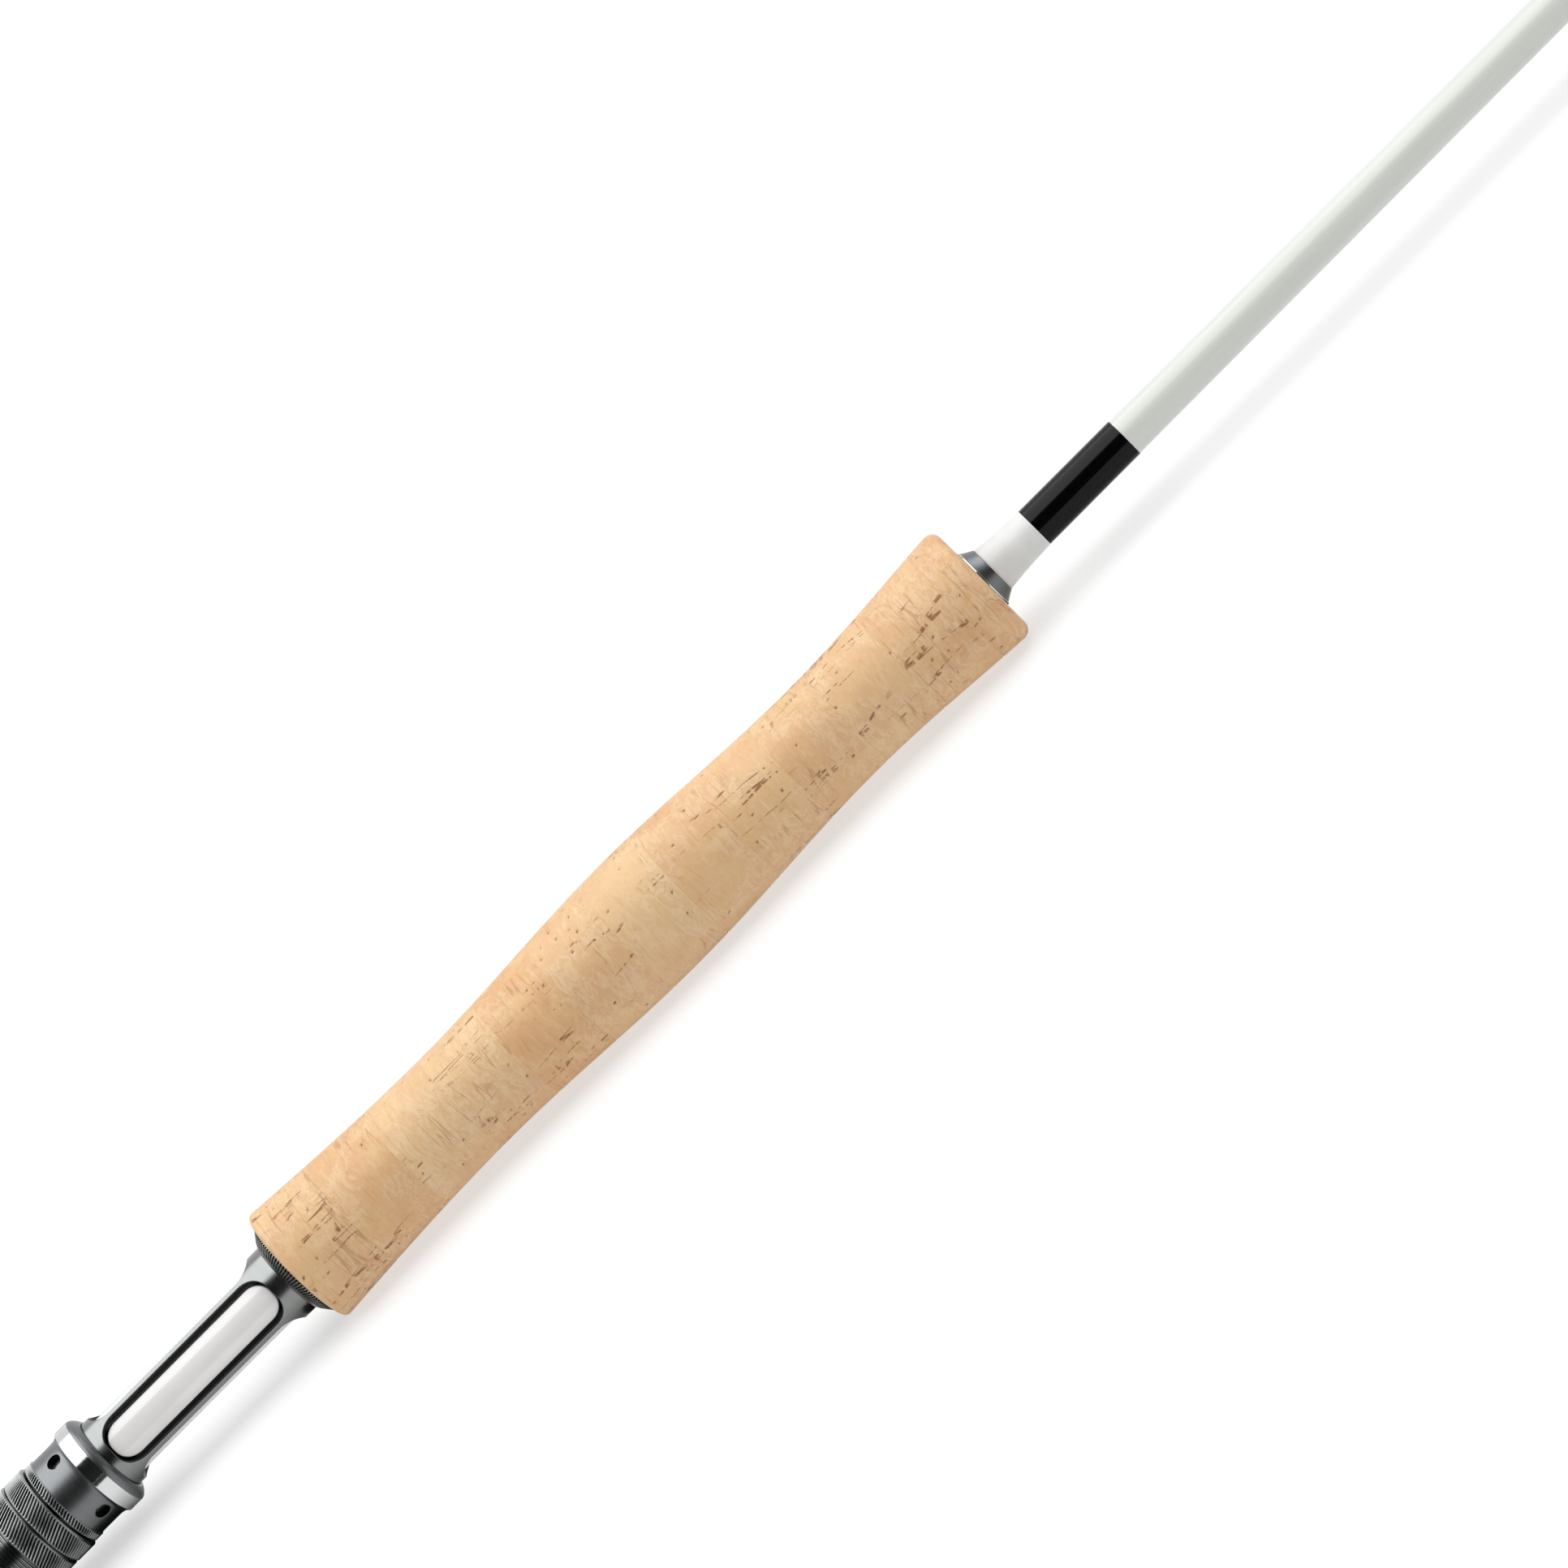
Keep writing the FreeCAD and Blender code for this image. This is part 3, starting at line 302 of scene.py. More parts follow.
for code, value, low, high, share in (
    ("#cfa075", blotches, 0.42, 0.66, 0.6),
    ("#ddb986", patches, 0.50, 0.68, 0.7),
    ("#bb8657", growth, 0.55, 0.78, 0.5),
    ("#e6c8a1", growth, 0.46, 0.26, 0.55),
    ("#ebd2ad", speckle, 0.42, 0.24, 0.4),
    ("#ab7b4f", speckle, 0.58, 0.78, 0.4),
    ("#eed9b8", ridges, 0.0, 1.0, 0.24),
    ("#a57144", hairs, 0.0, 1.0, 0.5),
    ("#8a5a34", cracks, 0.0, 1.0, 0.9),
    ("#7c4b2a", pit, 0.08, 0.75, 0.86),
):
    tone = laid_over(tree, tone, code, value, low, high, share)
relief = add_node(tree, "Math", {0: ridges, 1: 0.5, 2: growth}, operation="MULTIPLY_ADD")[0]
relief = add_node(tree, "Math", {0: relief, 1: cracks}, operation="SUBTRACT")[0]
bump = add_node(tree, "Bump", {"Strength": 1.0, "Distance": 0.00009, "Height": relief})[0]
even = {"Roughness": 0.6, "Specular IOR Level": 0.5, "Sheen Weight": 0.18, "Sheen Roughness": 0.4}
finish(tree, Base_Color=tone, Normal=bump, **even)


def bark_pits(rng, first, last):
    """Random pits for one piece of cork: place, angle, half lengths along and round, depth and slant, in
    mm. Most are small dots; a few are long and straight along the rod, and some crowd together."""
    dots, cracks = rng.poisson(15), rng.poisson(2.4)
    count = dots + cracks
    is_crack = np.arange(count) >= dots
    centre = rng.uniform(0, FULL_TURN, 5)
    crowd = rng.random(count) < 0.35
    crowded = centre[rng.integers(0, 5, count)] + rng.normal(0, 0.22, count)
    angle = np.where(crowd, crowded, rng.uniform(0, FULL_TURN, count))
    x = rng.uniform(first, last, count)
    along_size = np.where(is_crack, rng.uniform(0.5, 1.7, count), rng.uniform(0.16, 0.42, count))
    round_size = np.where(is_crack, rng.uniform(0.12, 0.19, count), rng.uniform(0.15, 0.34, count))
    depth = np.where(is_crack, rng.uniform(0.08, 0.22, count), rng.uniform(0.10, 0.42, count))
    slant = rng.normal(0, 0.16, count)
    return x, angle, along_size, round_size, depth, slant


def points_of(mesh):
    """The mesh's points, in metres, as rows of (x, y, z)."""
    points = np.empty(len(mesh.vertices) * 3, dtype=np.float32)
    mesh.vertices.foreach_get("co", points)
    return points.reshape(-1, 3)


def store(mesh, name, values):
    """Stores one number for each point of the mesh, for a material to read."""
    stored = mesh.attributes.new(name, "FLOAT", "POINT")
    stored.data.foreach_set("value", values.astype(np.float32))


WANDER, WANDER_RATE, SKIN_SHARE = 0.12, 2.1, 0.72


def pit_surface(made, seed, radius):
    """Sinks pits into the outer skin and stores how deep each point is, for the colour. A pit sinks by
    depth * exp(-d^3), with d the distance from its centre in half lengths, and its sides wander."""
    mesh = made.data
    points = points_of(mesh).astype(float)
    x = points[:, 0] * 1000
    angle = np.arctan2(points[:, 1], points[:, 2]) % FULL_TURN
    off_axis = np.hypot(points[:, 1], points[:, 2]) * 1000
    rng = np.random.default_rng(seed)
    px, pa, along_size, round_size, depth, slant = bark_pits(rng, x.min(), x.max())
    dx = x[:, None] - px[None, :]
    arc = ((angle[:, None] - pa[None, :] + math.pi) % FULL_TURN - math.pi) * radius
    arc = arc - slant * dx - WANDER * np.sin(dx * WANDER_RATE + pa * 40)
    squared = (dx / along_size) ** 2 + (arc / round_size) ** 2
    sunk = np.exp(-(squared**1.5))
    skin = off_axis > radius * SKIN_SHARE
    depths = np.where(skin, (sunk * depth).max(axis=1), 0.0)
    scale = 1 - depths / np.maximum(off_axis, 1.0)
    points[:, 1:] *= scale[:, None]
    mesh.vertices.foreach_set("co", points.astype(np.float32).ravel())
    store(mesh, "pit", np.where(skin, sunk.max(axis=1), 0.0))
    mesh.update()


def bent_curve(stations, radii, x):
    """A smooth line through three points: the parabola in Lagrange's form."""
    total = np.zeros_like(x)
    for i in range(3):
        others = [j for j in range(3) if j != i]
        share = np.prod([(x - stations[j]) / (stations[i] - stations[j]) for j in others], axis=0)
        total = total + radii[i] * share
    return total


EDGE_DROP, EDGE_LENGTH = 0.35, 0.4
x = np.linspace(CAP_END, CORK_END, 96)
skin_radius = bent_curve((CAP_END, 26.8, CORK_END), (12.6, 10.6, 11.2), x)
for into in (x - CAP_END, CORK_END - x):
    skin_radius -= EDGE_DROP * np.maximum(0, 1 - into / EDGE_LENGTH) ** 2
skin_line = np.stack([x, skin_radius], axis=1)
butt_cork = np.concatenate([[[CAP_END, 5.0]], skin_line, [[CORK_END, 5.0]]])
made = turned("fighting_butt", butt_cork, "fighting_butt_cork", cork, columns=220)
pit_surface(made, 7, 11.0)

# -------- trim ring
# The aluminium ring between the fighting butt and the reel seat. It is turned on a lathe and
# anodised gunmetal grey, which leaves fine tool lines round it under a satin sheen.

# anodised aluminium, turned: cool mid grey, with lathe lines 0.12 mm apart that run round the rod and
# break its highlights into fine threads, and duller patches about 3 mm across
gunmetal = grained(
    "gunmetal anodised aluminium, turned", "#777a79", "#878a89", (8000, 30, 30, 2.0),
    gloss=((350, 350, 350, 4.0), 0.19, 0.27), relief=(None, 0.0000006), Metallic=1.0,
)
trim_outline = (
    (CORK_END, 10.4, 0.3), (40.3, 10.6, 0.15), (43.0, 10.6, 0.35), (43.0, 7.05, 0.1), (CORK_END, 5.2, 0.1),
)
turned("trim_ring", softened(trim_outline, 5), "butt_trim_ring", gunmetal)

# -------- seat core
# The tube that carries the reel seat, glued to the blank and seen at the bottom of the four windows.
# It is machined from black plastic and left matt, so that the white inlays stand out on it.

# black acetal, machined: almost no sheen, faint lathe lines 0.3 mm apart
acetal = grained(
    "machined black acetal", "#050505", "#111110", (3300, 40, 40, 2.0), relief=(None, 0.00002),
    Roughness=0.55, Specular_IOR_Level=0.25,
)
WINDOW_START, WINDOW_CENTRE, WINDOW_END = 104.65, 126.9, 149.15
CORE_START, CORE_END = 43.1, 166.9
CORE_RADIUS, CORE_FLOOR, CORE_BORE, PAST_WINDOW = 6.93, 5.70, 5.1, 0.6
core_outline = (
    (CORE_START, CORE_BORE, 0), (CORE_START, CORE_RADIUS, 0.1),
    (WINDOW_START - PAST_WINDOW, CORE_RADIUS, 0.2), (WINDOW_START - PAST_WINDOW, CORE_FLOOR, 0.2),
    (WINDOW_END + PAST_WINDOW, CORE_FLOOR, 0.2), (WINDOW_END + PAST_WINDOW, CORE_RADIUS, 0.2),
    (CORE_END, CORE_RADIUS, 0.1), (CORE_END, CORE_BORE, 0),
)
turned("seat_core_tube", softened(core_outline, 3), "seat_core", acetal)

# -------- inlay pads
# Four long white pads, one at the bottom of each window, glued to the black core.
# They are moulded, with domed edges, and their gloss is slightly wavy from the mould.


def pill(half_length, half_width, corner, arc=8, ends=14, sides=30):
    """A closed outline of (along, across) points: a rectangle with rounded corners, its points spaced
    evenly on each arc and each straight side, starting at the middle of the first corner's arc."""
    run, rise = half_length - corner, half_width - corner
    quarter = np.linspace(-math.pi / 4, math.pi / 4, 2 * arc + 1)
    u, v = np.linspace(-run, run, sides + 1)[1:-1], np.linspace(-rise, rise, ends + 1)[1:-1]
    blocks = []
    for turn, straight, centre in (
        (math.pi * 1.25, np.stack([u, np.full_like(u, -half_width)], 1), (-run, -rise)),
        (math.pi * 1.75, np.stack([np.full_like(v, half_length), v], 1), (run, -rise)),
        (math.pi * 0.25, np.stack([u[::-1], np.full_like(u, half_width)], 1), (run, rise)),
        (math.pi * 0.75, np.stack([np.full_like(v, -half_length), v[::-1]], 1), (-run, rise)),
    ):
        a = quarter + turn
        blocks.append(np.stack([centre[0] + corner * np.cos(a), centre[1] + corner * np.sin(a)], 1))
        blocks.append(straight)
    return np.roll(np.concatenate(blocks), -arc, axis=0)


# gloss acrylic: clean white that goes faintly grey and back every 4 mm across, under a clear shine
acrylic = grained(
    "moulded white acrylic", "#eae9e7", "#e2e0e0", (60, 260, 260, 2.0), spread=(0.35, 0.65),
    relief=((40, 900, 900, 2.0), 0.00001), Roughness=0.16, Coat_Weight=0.6, Coat_Roughness=0.08,
)
PAD_LENGTH, PAD_TOP, PAD_FLOOR, PAD_CORNER, PAD_EDGE = 44.0, 6.84, 5.73, 3.8, 0.32
PAD_HALF_WIDTH = PAD_TOP * math.radians(35.7)
bend = np.linspace(0, math.pi / 2, 7)
over_edge = PAD_EDGE * (1 - np.cos(bend))
inwards = np.linspace(PAD_EDGE, PAD_HALF_WIDTH, 12)[1:]
inset = np.concatenate([inwards[::-1], [0.0], over_edge, inwards])
over_top = PAD_TOP - PAD_EDGE * (1 - np.sin(bend))
height = np.concatenate([np.full(12, PAD_FLOOR), over_top, np.full(11, PAD_TOP)])
rows = []
for depth in inset:
    half_width = PAD_HALF_WIDTH - depth
    rows.append(pill(PAD_LENGTH / 2 - depth, half_width, min(max(PAD_CORNER - depth, 0.3), half_width)))
flat = np.stack(rows)
for number in range(1, 5):
    angle = flat[:, :, 1] / PAD_TOP + math.radians(90 * (number - 1))
    shell = [(around(WINDOW_CENTRE + flat[:, :, 0], height[:, None], angle), False, True, 0)]
    piece(f"inlay_{number}", [shell], "butt_section", [f"inlay_pad_{number}"], [acrylic])

# -------- seat frame
# The reel seat's barrel: an aluminium tube with a screw thread behind and four long windows in front.
# The thread is cut and the windows milled, their edges are broken by hand, and all of it is anodised.

# the windows' walls, and the hood holes' walls and the bore round them, are painted near black: painted
# shade in these recesses, with only a trace of the metal's shine
painted_shade_black = grained(
    "shade-blackened anodised aluminium", "#040404", "#0d0d0c", (900, 900, 900, 3.0),
    Roughness=0.4, Specular_IOR_Level=0.3,
)
THREAD_START, THREAD_END, PITCH, THREAD_DEPTH = 45.0, 89.0, 0.8, 0.3
CREST, BARREL, BORE, SEAT_END = 8.0, 8.15, 7.0, 167.0
SHOULDER, SHOULDER_LENGTH = 0.1, 0.12
ARC, ENDS, SIDES = 6, 12, 26


def windowed(first, last, inner, hole_centre, radius_at, edge, turn, bore):
    """One sector of a tube round a hole: a ring of points from the hole's outline out to the sector's
    border, on the outside; a rounded edge; the hole's wall; and the same ring on the bore."""
    half_length, half_width, corner, radius_at_hole = inner

    def outline(grow):
        """The hole's outline, grown by so many mm: x, and angle round the rod."""
        flat = pill(half_length + grow, half_width + grow, corner + grow, ARC, ENDS, SIDES)
        return hole_centre + flat[:, 0], flat[:, 1] / radius_at_hole

    side = np.linspace(-1, 1, SIDES + 2 * ARC + 1)
    end = np.linspace(-1, 1, ENDS + 2 * ARC + 1)
    low, high = np.full_like(side, -1.0), np.full_like(side, 1.0)
    border = np.concatenate([
        np.stack([side, low], 1)[:-1],
        np.stack([np.ones_like(end), end], 1)[:-1],
        np.stack([side[::-1], high], 1)[:-1],
        np.stack([-np.ones_like(end), end[::-1]], 1)[:-1],
    ])
    border_x = (first + last) / 2 + border[:, 0] * (last - first) / 2
    border_angle = border[:, 1] * math.pi / 4
    hole_x, hole_angle = outline(edge)
    # twelve rings of points, closer together near the hole
    share = np.linspace(1, 0, 12)[:, None] ** 1.35
    x = hole_x + (border_x - hole_x) * share
    angle = hole_angle + (border_angle - hole_angle) * share
    outside = around(x, radius_at(x), angle + turn)
    curve = np.linspace(0, math.pi / 2, 5)[1:]
    rows = []
    for bend in curve:
        edge_x, edge_angle = outline(edge * (1 - math.sin(bend)))
        rows.append(around(edge_x, radius_at(edge_x) - edge * (1 - math.cos(bend)), edge_angle + turn))
    wall_x, wall_angle = outline(0.0)
    rows.append(around(wall_x, np.full_like(wall_x, bore), wall_angle + turn))
    inside = around(x[::-1], np.full_like(x, bore), angle[::-1] + turn)
    lip = np.stack(rows)
    wall = np.stack([lip[-2], lip[-1]])
    return np.concatenate([outside, lip[:-1]]), wall, np.concatenate([lip[-1:], inside])


def flat_ring(at, radii, angles):
    """A flat ring between two radii, with a corner at each angle."""
    return around(np.full((2, 1), at), np.array(radii)[:, None], angles[None, :]), False, True, 0


quarter = np.linspace(-math.pi / 4, math.pi / 4, ENDS + 2 * ARC + 1)[:-1]
column_angle = np.concatenate([quarter + k * math.pi / 2 for k in range(4)])
columns = len(column_angle)
turns = round((THREAD_END - THREAD_START) / PITCH) - 1
lead = np.arange(columns * turns + 1)
swept = column_angle[lead % columns] + FULL_TURN * (lead // columns)
progress = (swept - column_angle[0]) / FULL_TURN
# shares of one pitch of the thread: crest, flank, root, flank, crest
share = np.array([0.0, 0.10, 0.45, 0.55, 0.90, 1.0])[:, None]
cut_shape = np.array([0.0, 0.0, 1.0, 1.0, 0.0, 0.0])[:, None]
thread_x = THREAD_START + PITCH * (progress[None, :] + share)
fade = np.clip((thread_x - THREAD_START - PITCH) / PITCH, 0, 1)
fade = fade * np.clip((THREAD_END - PITCH - thread_x) / PITCH, 0, 1)
thread = around(thread_x, CREST - THREAD_DEPTH * cut_shape * fade, swept[None, :])
round_share = np.append((column_angle - column_angle[0]) / FULL_TURN, 1.0)
round_angle = np.append(column_angle, column_angle[0] + FULL_TURN)
run_in = around(THREAD_START + PITCH * round_share * share, CREST, round_angle)
last_edge = THREAD_START + PITCH * (turns + round_share)
run_out = around(last_edge + (THREAD_END - last_edge) * share, CREST, round_angle)
plain = np.array([
    [THREAD_START, CREST], [44.0, CREST], [43.3, CREST], [43.15, CREST - 0.04], [43.05, 7.9], [43.05, BORE],
    [THREAD_END, BORE],
])
threaded_shell = [
    (thread, False, False, 0),
    (run_in, False, False, 0),
    (run_out, False, False, 0),
    (around(plain[:, :1], plain[:, 1:], column_angle[None, :]), False, True, 0),
    flat_ring(THREAD_END, (BORE, CREST), column_angle),
]


def barrel_radius(x):
    """The barrel's outside: a step up from the thread with a small rounded shoulder."""
    shoulder = np.clip(1 - (x - THREAD_END) / SHOULDER_LENGTH, 0, 1)
    return BARREL - SHOULDER * shoulder**2


window_hole = ((WINDOW_END - WINDOW_START) / 2, BARREL * math.radians(41.0), 4.6, BARREL)
sectors = []
for k in range(4):
    turn = k * math.pi / 2
    grids = windowed(THREAD_END, SEAT_END, window_hole, WINDOW_CENTRE, barrel_radius, 0.11, turn, BORE)
    # each window's wall (number 1) takes the painted shade black
    sectors += [(grid, False, True, number) for grid, number in zip(grids, (0, 1, 0))]
sectors.append(flat_ring(THREAD_END, (BARREL - SHOULDER, BORE), column_angle))
sectors.append(flat_ring(SEAT_END, (BARREL, BORE), column_angle))
shells, looks = [threaded_shell, sectors], [gunmetal, painted_shade_black]
piece("seat_barrel", shells, "butt_section", ["seat_frame"], looks, 28.0)

# -------- fixed hood
# The front hood, let into the rear of the grip, that takes the reel foot's front toe in a pocket on
# the reel side. It is turned from aluminium, its sloping face cut with a fine coin edge, and anodised.

POCKET_HALF_ANGLE, POCKET_RADIUS = math.radians(38.0), 9.35
POCKET_START, POCKET_END = 152.90, 162.79
COIN_TEETH, COIN_DEPTH = 96, 0.3
SLOPE_AT, SLOPE_TO = (152.99, 9.52), (154.29, 11.2)
COLLAR_RADIUS, COLLAR_BORE = 10.4, 8.20


def pocketed(tooth_share, plain, pocket, teeth, tooth_depth, per_tooth=4):
    """A turned hood: a closed profile carried round the rod, which changes to the pocket's profile over
    the reel side, with a column doubled at each wall. Teeth lower the rows that have a tooth share, by
    a half cosine wave for each tooth."""
    total = teeth * per_tooth
    angle = np.arange(total) / total * FULL_TURN + math.pi / total
    in_pocket = np.abs((angle % FULL_TURN) - math.pi) < POCKET_HALF_ANGLE
    change = np.flatnonzero(in_pocket != np.roll(in_pocket, 1))
    order = np.arange(total)
    for at in sorted(change, reverse=True):
        order = np.insert(order, at, order[at])
        in_pocket = np.insert(in_pocket, at, not in_pocket[at])
    angle = angle[order]
    wave = 0.5 - 0.5 * np.cos(angle * teeth)
    x = np.where(in_pocket[None, :], pocket[:, :1], plain[:, :1])
    radius = np.where(in_pocket[None, :], pocket[:, 1:], plain[:, 1:])
    return around(x, radius - tooth_share[:, None] * tooth_depth * wave[None, :], angle[None, :])


def store_groove_shade(made, radius_at, depth):
    """Stores how far each point lies below the crest line, as a share of the depth, for the painted shade
    in the grooves.
    """
    points = points_of(made.data) * 1000
    below = (radius_at(points[:, 0]) - np.hypot(points[:, 1], points[:, 2])) / depth
    store(made.data, "groove_shade", np.clip(below, 0, 1))


rim_plain = softened(
    (
        (152.29, COLLAR_BORE, 0.03), (152.29, 8.38, 0.06), (*SLOPE_AT, 0.3), (*SLOPE_TO, 0.22),
        (GRIP_START, SLOPE_TO[1], 0.1), (GRIP_START, COLLAR_RADIUS, 0.05),
        (SEAT_END, COLLAR_RADIUS, 0.1), (SEAT_END, COLLAR_BORE, 0.1),
    ),
    5,
)
rim_pocket = rim_plain.copy()
low = (rim_pocket[:, 1] < POCKET_RADIUS) & (rim_pocket[:, 0] < POCKET_END)
rim_pocket[low, 1] = POCKET_RADIUS
rim_pocket[low, 0] = np.maximum(rim_pocket[low, 0], POCKET_START)
# one more pair of rows steps the pocket's floor down to the bore at its blind end
rim_plain = np.concatenate([rim_plain, [[POCKET_END, COLLAR_BORE], [POCKET_END, COLLAR_BORE]]])
rim_pocket = np.concatenate([rim_pocket, [[POCKET_END, COLLAR_BORE], [POCKET_END, POCKET_RADIUS]]])
rim_x, rim_radius = rim_plain[:, 0], rim_plain[:, 1]
on_slope = (rim_x > SLOPE_AT[0] + 0.01) & (rim_x < SLOPE_TO[0] + 0.31) & (rim_radius > SLOPE_AT[1] - 0.02)

# gunmetal again, a little warmer and duller, with the coin edge's grooves painted near black: painted shade
# in the grooves
coined = grained(
    "gunmetal anodised aluminium, coin-edged", "#7d7468", "#8b8a85", (900, 900, 900, 4.0),
    spread=(0.35, 0.65), groove_shade=("#141312", 0.15, 0.6), Metallic=1.0, Roughness=0.3,
)


def slope_radius(x):
    """The radius of the sloping face's tooth crests, and 0 off that face."""
    on_face = (x > SLOPE_AT[0]) & (x < SLOPE_TO[0] + 0.3)
    return np.where(on_face, np.interp(x, *zip(SLOPE_AT, SLOPE_TO)), 0.0)


grid = pocketed(on_slope.astype(float), rim_plain, rim_pocket, COIN_TEETH, COIN_DEPTH)
shells = [[(grid, True, True, 0)]]
made = piece("front_hood", shells, "butt_section", ["fixed_hood"], [coined], 40.0)
store_groove_shade(made, slope_radius, COIN_DEPTH)

# -------- lock ring and jam ring
# Two aluminium rings on the seat's thread: the first drives the hood forward, and the second is
# tightened against it. Each is turned, knurled aslant for grip, chamfered and anodised.

KNURLS, KNURL_DEPTH, KNURL_SLANT = 84, 0.24, math.radians(25.0)


def knurled(profile, toothed, radius):
    """A turned profile with slanting ridges: each row is turned on by tan(slant) * x / radius, and the
    toothed rows dip by a rounded saw wave, six columns to a ridge."""
    phase = np.arange(6) / 6
    dip = np.array([0.0, 0.0, 0.5, 1.0, 1.0, 0.5])
    angle = (np.arange(KNURLS)[:, None] + phase[None, :]).reshape(-1) * FULL_TURN / KNURLS
    dips = np.tile(dip, KNURLS)
    x, r = profile[:, :1], profile[:, 1:]
    turned_by = math.tan(KNURL_SLANT) * (x - x.min()) / radius
    return around(x, r - toothed[:, None] * KNURL_DEPTH * dips[None, :], angle[None, :] + turned_by)


# gunmetal that has been knurled: crests worn to paler metal, and valleys painted dark: painted shade in the
# valleys
knurl_metal = grained(
    "gunmetal anodised aluminium, knurled", "#8b8e8d", "#9ea1a0", (500, 500, 500, 4.0),
    spread=(0.35, 0.65), gloss=(None, 0.26, 0.36), relief=(None, 0.000004),
    groove_shade=("#1e1f1e", 0.15, 0.8), Metallic=1.0,
)


def ring_profile(first, last, radius, bore, chamfer):
    """Rows of a knurled ring: bore, face, a plain chamfer, the knurled land, and back. Returns the rows
    and, for each, how far it is knurled."""
    rows = [
        (first, bore, 0), (first, radius - chamfer - 0.05, 0), (first + 0.02, radius - chamfer, 0),
        (first + chamfer - 0.03, radius - 0.03, 0.0), (first + chamfer, radius, 0.0),
        (first + chamfer + 0.10, radius, 0.6), (first + chamfer + 0.25, radius, 1.0),
    ]
    middle = [(first + (last - first) * share, radius, 1.0) for share in (0.3, 0.5, 0.7)]
    mirrored = [(first + last - x, r, k) for x, r, k in reversed(rows)]
    full = np.array(rows + middle + mirrored)
    return full[:, :2], full[:, 2]


RING_RADIUS, RING_BORE, RING_CHAMFER = 10.35, 8.12, 0.35
for name, first, last in (("lock_ring", 83.25, 88.25), ("jam_ring", 78.09, 83.09)):
    profile, toothed = ring_profile(first, last, RING_RADIUS, RING_BORE, RING_CHAMFER)
    shells = [[(knurled(profile, toothed, RING_RADIUS), True, True, 0)]]
    made = piece(f"{name}_knurled", shells, name, [name], [knurl_metal], 38.0)

    def crest_radius(x):
        """The ring's crests, with a chamfer as deep as it is long at each end."""
        chamfers = np.clip(first + RING_CHAMFER - x, 0, 1) + np.clip(x - last + RING_CHAMFER, 0, 1)
        return RING_RADIUS - chamfers

    store_groove_shade(made, crest_radius, KNURL_DEPTH)

# a nylon washer let into the jam ring's face, black and slightly waxy, so that the two rings don't bind
nylon = grained(
    "black nylon", "#161616", "#242423", (700, 700, 700, 3.0), relief=(None, 0.00001), Roughness=0.45
)
washer_outline = ((82.38, 8.15, 0.05), (82.38, 9.28, 0.1), (83.16, 9.28, 0.1), (83.16, 8.15, 0.05))
turned("jam_ring_washer", softened(washer_outline, 3), "jam_washer", nylon, "jam_washer")

# -------- sliding hood
# The hood that the lock ring pushes over the reel foot's rear toe. It is turned with a knurled band,
# drilled with four lightening holes, and its front flange is polished bright before anodising.

# the flange: the same metal, buffed, so that it mirrors the light with only a trace of buffing marks
buffed = grained(
    "gunmetal aluminium, buffed bright", "#c6c9c9", "#d2d4d4", (2500, 90, 90, 3.0),
    gloss=(None, 0.08, 0.13), Metallic=1.0,
)

# the hood's body and the check: bead-blasted before anodising, so darker and softer, with no tool lines
blasted = grained(
    "gunmetal anodised aluminium, bead-blasted", "#666869", "#757879", (3000, 3000, 3000, 2.0),
    gloss=(None, 0.30, 0.36), Metallic=1.0,
)

HOOD_BORE, BODY_RADIUS, FLANGE_RADIUS = 8.27, 9.7, 10.6
BAND_START, BAND_END, BAND_RADIUS, BAND_CHAMFER = 88.70, 90.68, 9.95, 0.18
BODY_END, NOSE_END, NOSE_POCKET = 96.8, 102.8, 102.45
FLANGE_START, FLANGE_END = 97.95, 101.0
HOLE_AT, HOLE_RADIUS = 94.95, 1.6
band, band_teeth = ring_profile(BAND_START, BAND_END, BAND_RADIUS, HOOD_BORE, BAND_CHAMFER)
band_shell = [(knurled(band, band_teeth, BAND_RADIUS), True, True, 2)]


def hood_radius(x):
    """The hood's body: straight, then rising to the flange."""
    rise = [BODY_RADIUS, BODY_RADIUS, 9.76, 9.86, 10.2, FLANGE_RADIUS]
    return np.interp(x, [90.7, 95.6, 96.4, 96.9, 97.6, 98.0], rise)


drilled = []
hole = (HOLE_RADIUS, HOLE_RADIUS, HOLE_RADIUS - 0.001, BODY_RADIUS)
for k in range(4):
    turn = math.pi / 4 + k * math.pi / 2
    grids = windowed(BAND_END, BODY_END, hole, HOLE_AT, hood_radius, 0.10, turn, HOOD_BORE)
    # each hole's wall and the bore round it (number 3) take the painted shade black
    drilled += [(grid, False, True, number) for grid, number in zip(grids, (0, 3, 3))]
for at in (BAND_END, BODY_END):
    drilled.append(flat_ring(at, (float(hood_radius(at)), HOOD_BORE), column_angle + math.pi / 4))

nose_plain = softened(
    (
        (BODY_END, HOOD_BORE, 0.0), (BODY_END, float(hood_radius(BODY_END)), 0.0), (97.35, 10.02, 0.2),
        (FLANGE_START, FLANGE_RADIUS, 0.1), (FLANGE_END, FLANGE_RADIUS, 0.1), (101.54, 10.4, 0.2),
        (102.26, 9.7, 0.25), (NOSE_END, 8.8, 0.12), (NOSE_END, HOOD_BORE, 0.1),
    ),
    4,
)
nose_pocket = nose_plain.copy()
low = nose_pocket[:, 1] < POCKET_RADIUS
nose_pocket[low, 1] = POCKET_RADIUS
nose_pocket[low, 0] = np.minimum(nose_pocket[low, 0], NOSE_POCKET)
